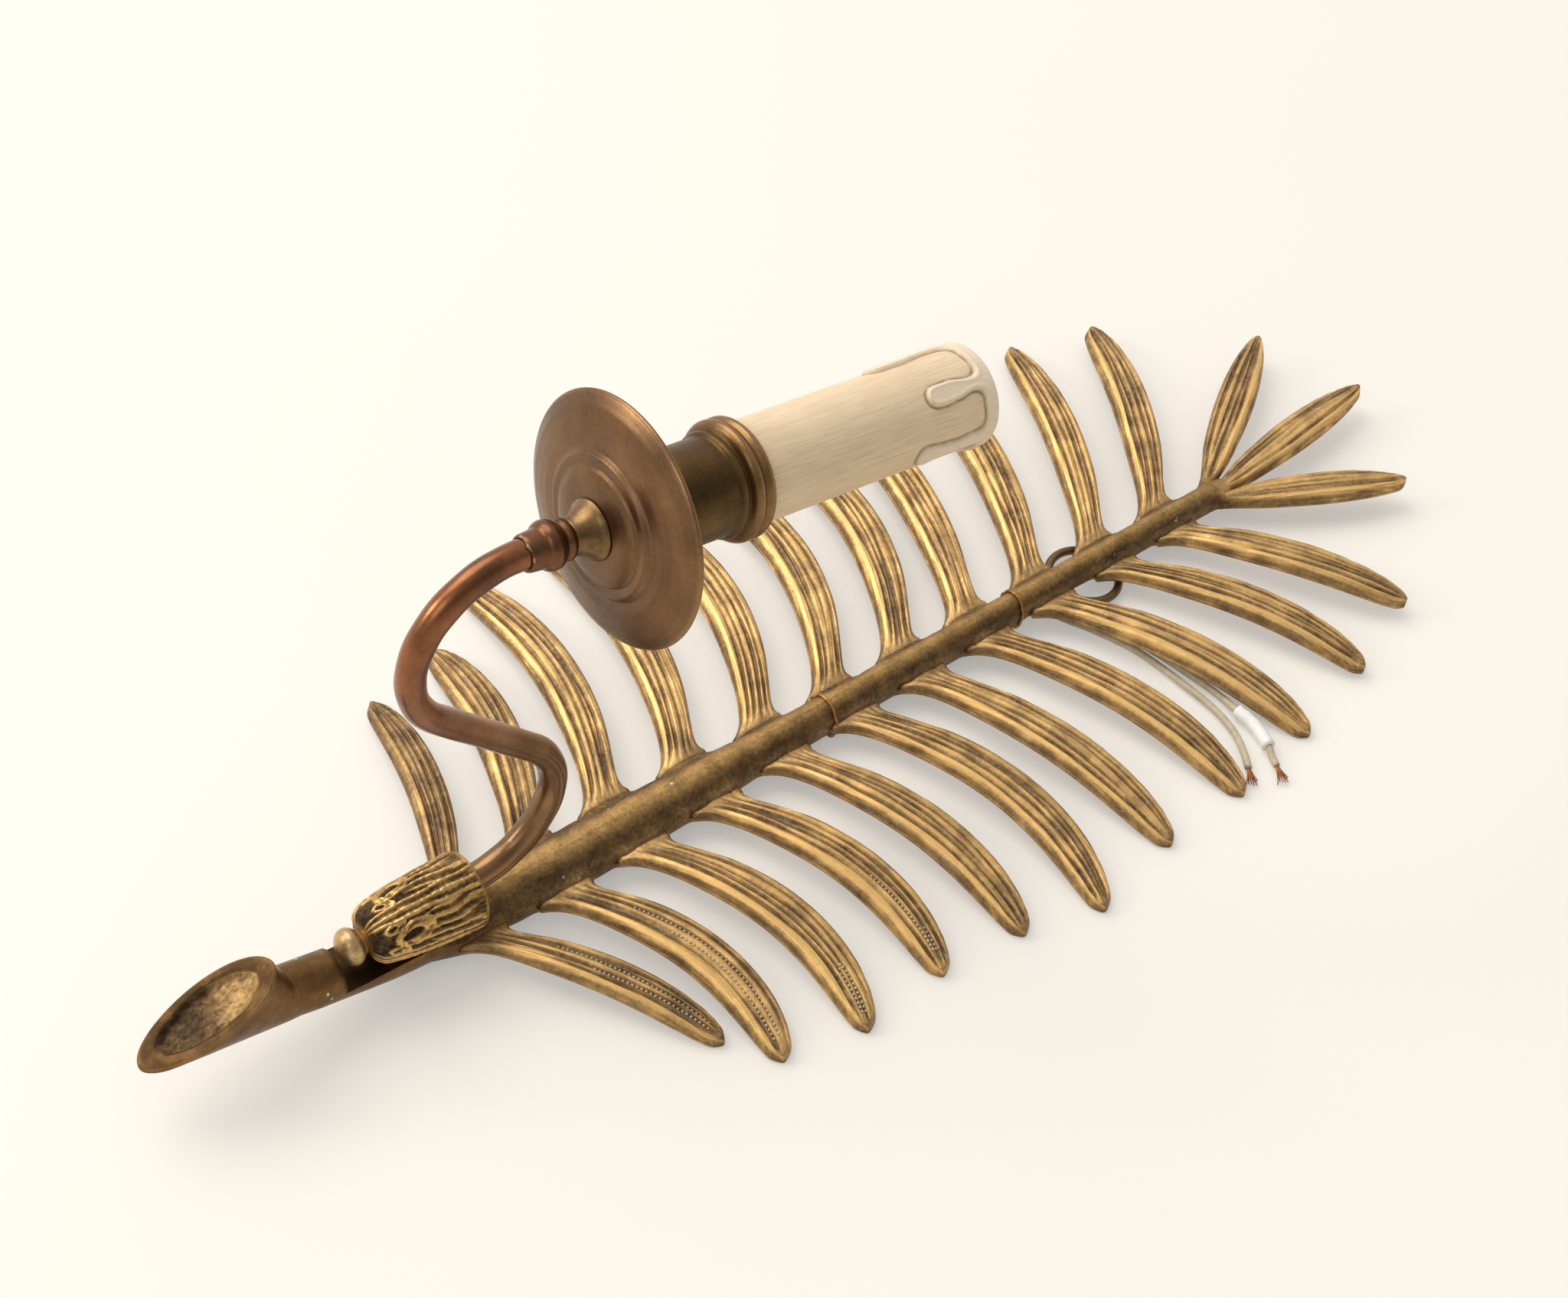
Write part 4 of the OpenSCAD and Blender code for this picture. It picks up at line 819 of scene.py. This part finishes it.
def bell_relief(turn, along):
    """Height of the cast leaves at a turn in degrees and a distance from the closed end, from 0 to 1."""
    per_turn = 8.2 + 0.09 * along
    out = np.radians(np.abs((turn + 45) % 90 - 45)) * per_turn
    aside = np.radians(turn % 90 - 45) * per_turn
    around = np.stack([turn * 0.19, along, 0 * turn], axis=-1)
    wander = wobble(around, 6.0, 2)
    fan = out / (0.8 + 0.016 * along) + 0.25 * wander
    ribs = bump_at(fan, 0.72) + 0.92 * bump_at(fan - 2.05, 0.66)
    height = 0.14 + 0.82 * ribs * ease((3.1 - fan) / 0.5)
    blade = ease((1.06 - np.hypot((along - 21.5) / 10.5, (out - 5.6) / 3.0)) / 0.14) * ease((out - 2.7) / 0.4)
    curve = aside * (1 - 0.03 * (along - 13)) + 0.5 * wander
    feather = 0.5 + 0.5 * np.cos(curve * 2 * np.pi / 1.9)
    height = mix(height, 0.28 + 0.62 * feather ** 1.3, blade)
    for at, off, lobe_l, lobe_w, hole_l, hole_w in ((5.8, out - 3.3, 3.2, 1.5, 1.0, 0.5),
                                                    (10.5, aside + 0.6, 6.0, 3.3, 2.6, 0.95)):
        off = off + 0.14 * (along - at) + 0.4 * wander
        away = np.hypot((along - at) / lobe_l, off / lobe_w)
        lobe = ease((1.08 - away) / 0.2)
        angle = np.arctan2(off + 0.8, along - at + 4.2)
        veins = 0.60 + 0.20 * np.cos(angle * 11 + wander) * ease(away / 0.5) + 0.32 * bump_at(away - 0.86, 0.14)
        hole = np.hypot((along - at + 0.8) / hole_l, off / hole_w)
        veins = veins + 0.30 * bump_at(hole - 1.45, 0.3) - 0.95 * ease((1.25 - hole) / 0.4)
        height = mix(height, veins, lobe)
    tips = ease((along - 27.6 + 1.4 * np.cos(np.radians(turn) * 16)) / 0.6)
    height = mix(height, 0.75 * height + 0.25 * (0.5 + 0.5 * np.cos(np.radians(turn) * 48)), tips)
    return np.clip(height + 0.22 * wobble(around, 1.1, 4), 0, 1.1)


def make_bell():
    outer = [(0, 0), (5.2, 0), (7.4, 1.2), (8.5, 3.6), (9.7, 10), (10.5, 20), (10.95, 30.3), (10.8, 31.2),
             (10.3, 31.5)]
    inner = [(9.6, 31.4), (9.12, 20), (8.16, 10), (5.6, 2.6), (0.01, 2.6)]
    p = rounded(outer, 1.1, 5)
    d = np.concatenate([[0], np.cumsum(np.linalg.norm(np.diff(p, axis=0), axis=1))])
    s = np.linspace(0, d[-1], 160)
    radius = np.interp(s, d, p[:, 0])
    along = np.interp(s, d, p[:, 1])
    turn = np.linspace(0, 360, 320, endpoint=False)
    T, L = np.meshgrid(turn, along, indexing="ij")
    R = np.broadcast_to(radius, T.shape)
    # The pattern turns so that its ribs face the room and a leaf each side of them
    height = mix(0.7, bell_relief(T + 72, L), ease((R - 3.0) / 3.0) * ease((31.2 - L) / 1.2))
    grown = R - 0.85 * (1 - np.clip(height, 0, 1))
    outside = on_axis(L, np.maximum(grown, 0.01), np.radians(T), BELL_START, BELL_AXIS)
    ip = rounded(inner, 0.6)
    inside = on_axis(ip[:, 1][None], ip[:, 0][None], np.radians(turn)[:, None], BELL_START, BELL_AXIS)
    points = np.concatenate([outside, inside], axis=1)
    relief = np.concatenate([np.clip(height, 0, 1) ** 1.9, np.full(inside.shape[:2], 0.1)], axis=1)
    faces = ring_faces(320, points.shape[1], closed_rows=True)
    make("cast_bell", points.reshape(-1, 3), faces, bell_gold, replaced="bell", slot="golden_brass",
         values={"relief": relief})


make_bell()

ball = [(0.01, 10.6), (3, 10.6), (3, 12.0), (3.4, 12.4), (3.6, 12.9)]
ball += [(5.2 * math.cos(math.radians(a)), 15.8 + 3.6 * math.sin(math.radians(a))) for a in range(-45, 90, 9)]
ball += [(0.01, 19.4)]
turned_piece("finial_ball", ball, ball_gold, start=np.array([-54.0, 0, 21.3]), axis=np.array([-1.0, 0, 0]),
             corner=0.2, replaced="finial", slot="golden_brass")


# Arm
def arm_route():
    def heading(a):
        return np.array([math.cos(a), 0, math.sin(a)])

    def left_of(a):
        return np.array([-math.sin(a), 0, math.cos(a)])

    lower, lean = math.radians(132.3), math.radians(9.2)
    first = np.array([-33.7, 0, 21.3])
    middle = first + 24.9 * left_of(0)
    line = [np.array([x, 0, 21.3]) for x in (-60, -52, -44, -38)]
    line += [middle - 24.9 * left_of(a) for a in np.linspace(0, lower, 36)]
    start = line[-1]
    line += [start + s * heading(lower) for s in np.arange(3, 40, 3.0)]
    riser_end = start + 42.3 * heading(lower)
    middle = riser_end - 25.8 * left_of(lower)
    line += [middle + 25.8 * left_of(a) for a in np.linspace(lower, -lean, 40)]
    line += [line[-1] + s * heading(-lean) for s in (1.0, 6.0, 13.0, 21.0, 34.6)]
    return np.array(line)


arm_line = arm_route()
swell = 3.75 + 0.05 * np.sin(np.arange(len(arm_line)) * 0.9) * ease(np.arange(len(arm_line)) / 8.0)
arm_high = np.repeat(ease((arm_line[:, 2] - 62) / 38)[:, None], 48, axis=1)
tube("arm", arm_line, swell, 48, arm_lacquer, replaced="arm_tube", slot="lacquered_copper_brown",
     values={"copper": arm_high, "relief": np.full(arm_high.shape, 0.5)})

# The wires inside follow the arm's middle, up from the channel in the stalk's back
for node, aside in (("inner_wire_a", -1.2), ("inner_wire_b", 1.2)):
    low = rounded([(164, 3.6), (-46, 3.6), (-46, 21.3), (-36, 21.3)], 5, 6)
    route = np.vstack([np.column_stack([low[:, 0], 0 * low[:, 0], low[:, 1]]), arm_line[4:]])
    tube(node + "_skin", route + [0, aside, 0], 1.1, 12, old_insulation, replaced=node, slot="insulation")

collar_profile = [(4.0, 0.4), (4.6, 0.8), (4.85, 3.6), (4.9, 5.2), (5.6, 5.6), (6.2, 6.8), (6.2, 8.2), (5.6, 9.4),
                  (4.7, 10), (4.7, 10.8), (5.2, 11.2), (5.2, 12.4), (4.6, 13.2), (4.0, 13.2)]
turned_piece("collar_turned", collar_profile, collar_copper, corner=0.7, replaced="collar",
             slot="lacquered_copper_brown")
cone_profile = [(4.0, 13.2), (4.4, 13.2), (4.6, 14.4), (5.4, 16.4), (6.6, 18.2), (7.6, 19.3), (7.8, 20), (4.0, 20)]
turned_piece("cone_turned", cone_profile, cone_brass, corner=0.6, replaced="cone_spacer", slot="golden_brass")

pan_profile = [(4.0, 20), (7.5, 20), (10.5, 20.3), (13.0, 20.8), (14.6, 21.4), (15.1, 22.0), (17.6, 21.95),
               (18.7, 23.1), (22, 23.35), (25, 23.95), (28.5, 25), (31.0, 26.4), (31.7, 26.95), (31.8, 27.5),
               (31.5, 27.9), (30.9, 27.3),
               (28.5, 25.9), (24, 24.6), (18.8, 24), (17.2, 22.9), (14.6, 22.6), (12.6, 21.6), (4.0, 20.9)]


def make_pan():
    p = rounded(pan_profile + [pan_profile[0]], 0.45, 5)[:-1]
    fine = [p[0]]
    for a, b in zip(p[:-1], p[1:]):
        n = max(1, int(np.linalg.norm(b - a) / 0.7))
        fine += [mix(a, b, (k + 1) / n) for k in range(n)]
    p = np.array(fine)
    turn = np.linspace(0, 2 * np.pi, 160, endpoint=False)
    points = on_axis(p[:, 1][None], p[:, 0][None], turn[:, None])
    radius = np.broadcast_to(p[:, 0], points.shape[:2])
    relief = np.clip(0.4 + 0.6 * ease((radius - 30.6) / 1.0), 0, 1)
    make("spun_pan", points.reshape(-1, 3), ring_faces(160, len(p), closed_rows=True), pan_bronze,
         replaced="drip_pan", slot="pan_bronze", values={"relief": relief, "radius": radius})


make_pan()

cup_profile = [(4.0, 20.9), (11.5, 20.9), (12.5, 21.9), (12.5, 54.5), (13.5, 55.3), (13.5, 56.7), (12.9, 57.1),
               (14.6, 57.9), (15.4, 58.9), (15.4, 59.9), (14.7, 60.7), (14.7, 61.1), (15.4, 61.9), (15.4, 62.9),
               (14.6, 63.9), (13.35, 63.9), (13.35, 58.9), (11.5, 58.9), (11.5, 22.1), (4.0, 22.1)]


def make_cup():
    p = rounded(cup_profile + [cup_profile[0]], 0.55, 5)[:-1]
    turn = np.linspace(0, 2 * np.pi, 144, endpoint=False)
    points = on_axis(p[:, 1][None], p[:, 0][None], turn[:, None])
    bright = np.broadcast_to(np.clip((p[:, 0] - 12.6) / 2.8, 0, 1), points.shape[:2])
    make("moulded_cup", points.reshape(-1, 3), ring_faces(144, len(p), closed_rows=True), cup_bronze,
         replaced="candle_cup", slot="dark_bronze", values={"relief": 0.1 + 0.9 * bright})


make_cup()


# Candle sleeve with its drips
MOUTH = 139.2
DRIPS = [(122, 20.0, 2.5), (188, 24.2, 2.5), (48, 27.0, 2.6), (250, 15.0, 2.4), (300, 21.0, 2.6), (356, 12.0, 2.3)]


def wax_distance(arc, station, around):
    """Distance outside the wax in the unrolled sleeve: under zero inside it."""
    d = (MOUTH - 4.6) - station
    for degrees, length, half in DRIPS:
        centre = degrees / 360 * around
        off = np.abs((arc - centre + around / 2) % around - around / 2)
        off = off + 0.35 * np.sin(station / 3.1 + degrees)
        end = MOUTH - length
        past = np.maximum(end - station, 0)
        drip = np.hypot(off, past) - half * mix(1.12, 0.86, np.clip((station - end) / 14, 0, 1))
        blend = np.clip(0.5 + 0.5 * (drip - d) / 3.4, 0, 1)
        d = mix(drip, d, blend) - 3.4 * blend * (1 - blend)
    return d


def make_sleeve():
    around = 2 * math.pi * 13.0
    low = np.linspace(59.2, 106, 48)
    high = np.linspace(106.4, 138.0, 110)
    stations = np.concatenate([low, high])
    turn = np.linspace(0, 360, 300, endpoint=False)
    T, S = np.meshgrid(turn, stations, indexing="ij")
    wander = wobble(on_axis(S, 13.0, np.radians(T)), 4.0, 8) * 0.5
    d = wax_distance(T / 360 * around, S, around) + wander * 0.5
    layer = ease(-d / 0.95) ** 0.75
    bead = np.exp(-((d + 0.9) / 0.7) ** 2)
    radius = 13.0 + 0.85 * layer + 0.22 * bead + 0.05 * wander
    outside = on_axis(S, radius, np.radians(T))
    a = np.linspace(0, 1, 9)[1:]
    lip_r = 13.87 - 2.07 * (1 - np.cos(a * np.pi / 2))
    lip_s = 138.0 + 1.15 * np.sin(a * np.pi / 2)
    lip_turn = np.radians(turn)[:, None]
    lip = on_axis(lip_s[None], lip_r[None], lip_turn)
    inner_s = np.array([138.6, 135, 120, 100, 80, 59.2])
    inside = on_axis(inner_s[None], np.full((1, 6), 11.8), lip_turn)
    points = np.concatenate([outside, lip, inside], axis=1)
    outline = np.exp(-((d - 0.18) / 0.34) ** 2)
    foot = ease((61.5 - S) / 2.0) * 0.6
    outline = np.maximum(outline, foot)
    outline = np.concatenate([outline, np.zeros((300, 14))], axis=1)
    relief = np.concatenate([layer, np.ones((300, 8)), np.zeros((300, 6))], axis=1)
    make("candle_sleeve_waxed", points.reshape(-1, 3), ring_faces(300, points.shape[1], closed_rows=True), wax,
         body="candle_sleeve", replaced="candle_sleeve", slot="wax", values={"relief": relief, "outline": outline})


make_sleeve()


# Copper ties round the stalk
def make_tie(name, x, node):
    h = resample(leafy_half(x), 40)
    loop = np.vstack([h, h[-2:0:-1] * [-1, 1]])
    centre = np.array([0, 7.0])
    loop = loop + 0.5 * unit(loop - centre)
    points = np.column_stack([x + 0.25 * np.sin(np.arange(len(loop)) / 9.0), loop])
    points = np.vstack([points, points[:1]])
    rings = tube_rings(points, 0.42, 10)[:-1]
    faces = ring_faces(len(rings), 10, closed_rows=True)
    make(name, rings.reshape(-1, 3), faces, tie_copper, replaced=node, slot="copper")


make_tie("copper_tie_lower", 85, "tie_lower")
make_tie("copper_tie_upper", 156, "tie_upper")


# Solder along the collar's lower edge
seam_turn = np.radians(np.linspace(48, 182, 48))
seam = on_axis(0.4 + 0.5 * np.sin(seam_turn * 1.7) ** 2, 4.2, seam_turn)
solder = plain("solder", (0.20, 0.125, 0.08), (0.44, 0.35, 0.27), 1400, 0.5, metallic=0.5, bump=0.3)
tube("solder_seam", seam, 0.10 + 0.36 * np.abs(np.sin(np.arange(48) * 0.19 + 0.4)) ** 4, 10, solder,
     slot="lacquered_copper_brown")


# Materials of the pieces that stay as they are
for node, material in {
        "fixing_screw": steel, "fixing_washer": steel, "lock_nut": hidden_brass, "holder_carrier": hidden_brass,
        "holder_body": porcelain, "holder_shell": hidden_brass, "centre_contact": bare_copper,
        "side_contact": bare_copper, "terminal_screws": steel, "staple": ring_bronze, "hanging_ring": ring_bronze}.items():
    for place_of in nodes[node].material_slots:
        place_of.material = material


# Floor and light
def floor_material():
    """Warm white card. What the camera sees of it is lifted towards white, and it keeps the shadows."""
    material, tree, shader = new_material("floor")
    where = add(tree, "TexCoord").outputs["Object"]
    value = speckle(tree, where, 3.0, 2)
    colour = ramp(tree, value, [(0.3, (0.90, 0.83, 0.72)), (0.7, (0.915, 0.85, 0.75))])
    tree.links.new(colour, shader.inputs["Base Color"])
    shader.inputs["Roughness"].default_value = 0.75
    shader.inputs["Specular IOR Level"].default_value = 0.15
    grain = add(tree, "Bump", {"Height": speckle(tree, where, 420, 4), "Strength": 0.05, "Distance": 0.0004})
    tree.links.new(grain.outputs[0], shader.inputs["Normal"])
    ray = add(tree, "LightPath").outputs
    seen = maths(tree, "ADD", ray["Is Camera Ray"], ray["Is Glossy Ray"])
    seen = maths(tree, "ADD", seen, ray["Is Transmission Ray"], clamp=True)
    white = add(tree, "Emission", {"Color": (1.0, 1.0, 0.985, 1), "Strength": 1.0}).outputs[0]
    both = add(tree, "MixShader", {"Fac": maths(tree, "MULTIPLY", seen, 0.34)})
    tree.links.new(shader.outputs[0], both.inputs[1])
    tree.links.new(white, both.inputs[2])
    tree.links.new(both.outputs[0], tree.nodes["Material Output"].inputs["Surface"])
    return material


floor_mesh = bpy.data.meshes.new("floor")
floor_mesh.from_pydata([(-6, -6, -0.0004), (6, -6, -0.0004), (6, 6, -0.0004), (-6, 6, -0.0004)], [], [(0, 1, 2, 3)])
floor = bpy.data.objects.new("floor", floor_mesh)
floor_mesh.materials.append(floor_material())
bpy.context.scene.collection.objects.link(floor)

world = bpy.data.worlds.new("studio")
bpy.context.scene.world = world
world.use_nodes = True
sky = world.node_tree
direction = add(sky, "TexCoord").outputs["Generated"]
height_of = add(sky, "SeparateXYZ", {"Vector": direction}).outputs["Z"]
facing = add(sky, "VectorMath", {0: direction, 1: (0.32, 0.72, 0.62)}, operation="DOT_PRODUCT").outputs["Value"]
shade = ramp(sky, span(sky, facing, -0.6, 1.0), [(0.0, (0.26, 0.255, 0.25)), (0.38, (0.34, 0.335, 0.33)),
                                                (0.66, (0.55, 0.545, 0.53)), (0.84, (0.82, 0.81, 0.79)),
                                                (1.0, (0.95, 0.94, 0.92))])
shade = blend_colour(sky, span(sky, height_of, 0.04, 0.4), (0.84, 0.83, 0.80), shade)
sky.links.new(shade, sky.nodes["Background"].inputs["Color"])
sky.nodes["Background"].inputs["Strength"].default_value = 1.0


def soft_lamp(name, at, power, size, colour, target=(0, 0, 0.05)):
    lamp = bpy.data.lights.new(name, "AREA")
    lamp.shape = "DISK"
    lamp.size = size
    lamp.energy = power
    lamp.color = colour
    holder = bpy.data.objects.new(name, lamp)
    holder.location = at
    holder.rotation_euler = (Vector(target) - Vector(at)).to_track_quat("-Z", "Y").to_euler()
    bpy.context.scene.collection.objects.link(holder)


soft_lamp("key", (-0.4, 1.35, 1.95), 30, 2.0, (1.0, 0.975, 0.94))
soft_lamp("window", (-1.2, 0.95, 0.75), 6, 0.5, (1.0, 0.97, 0.93))
soft_lamp("fill", (-1.3, -0.2, 1.1), 3, 0.8, (1.0, 0.98, 0.96))

scene = bpy.context.scene
scene.view_settings.view_transform = "Standard"
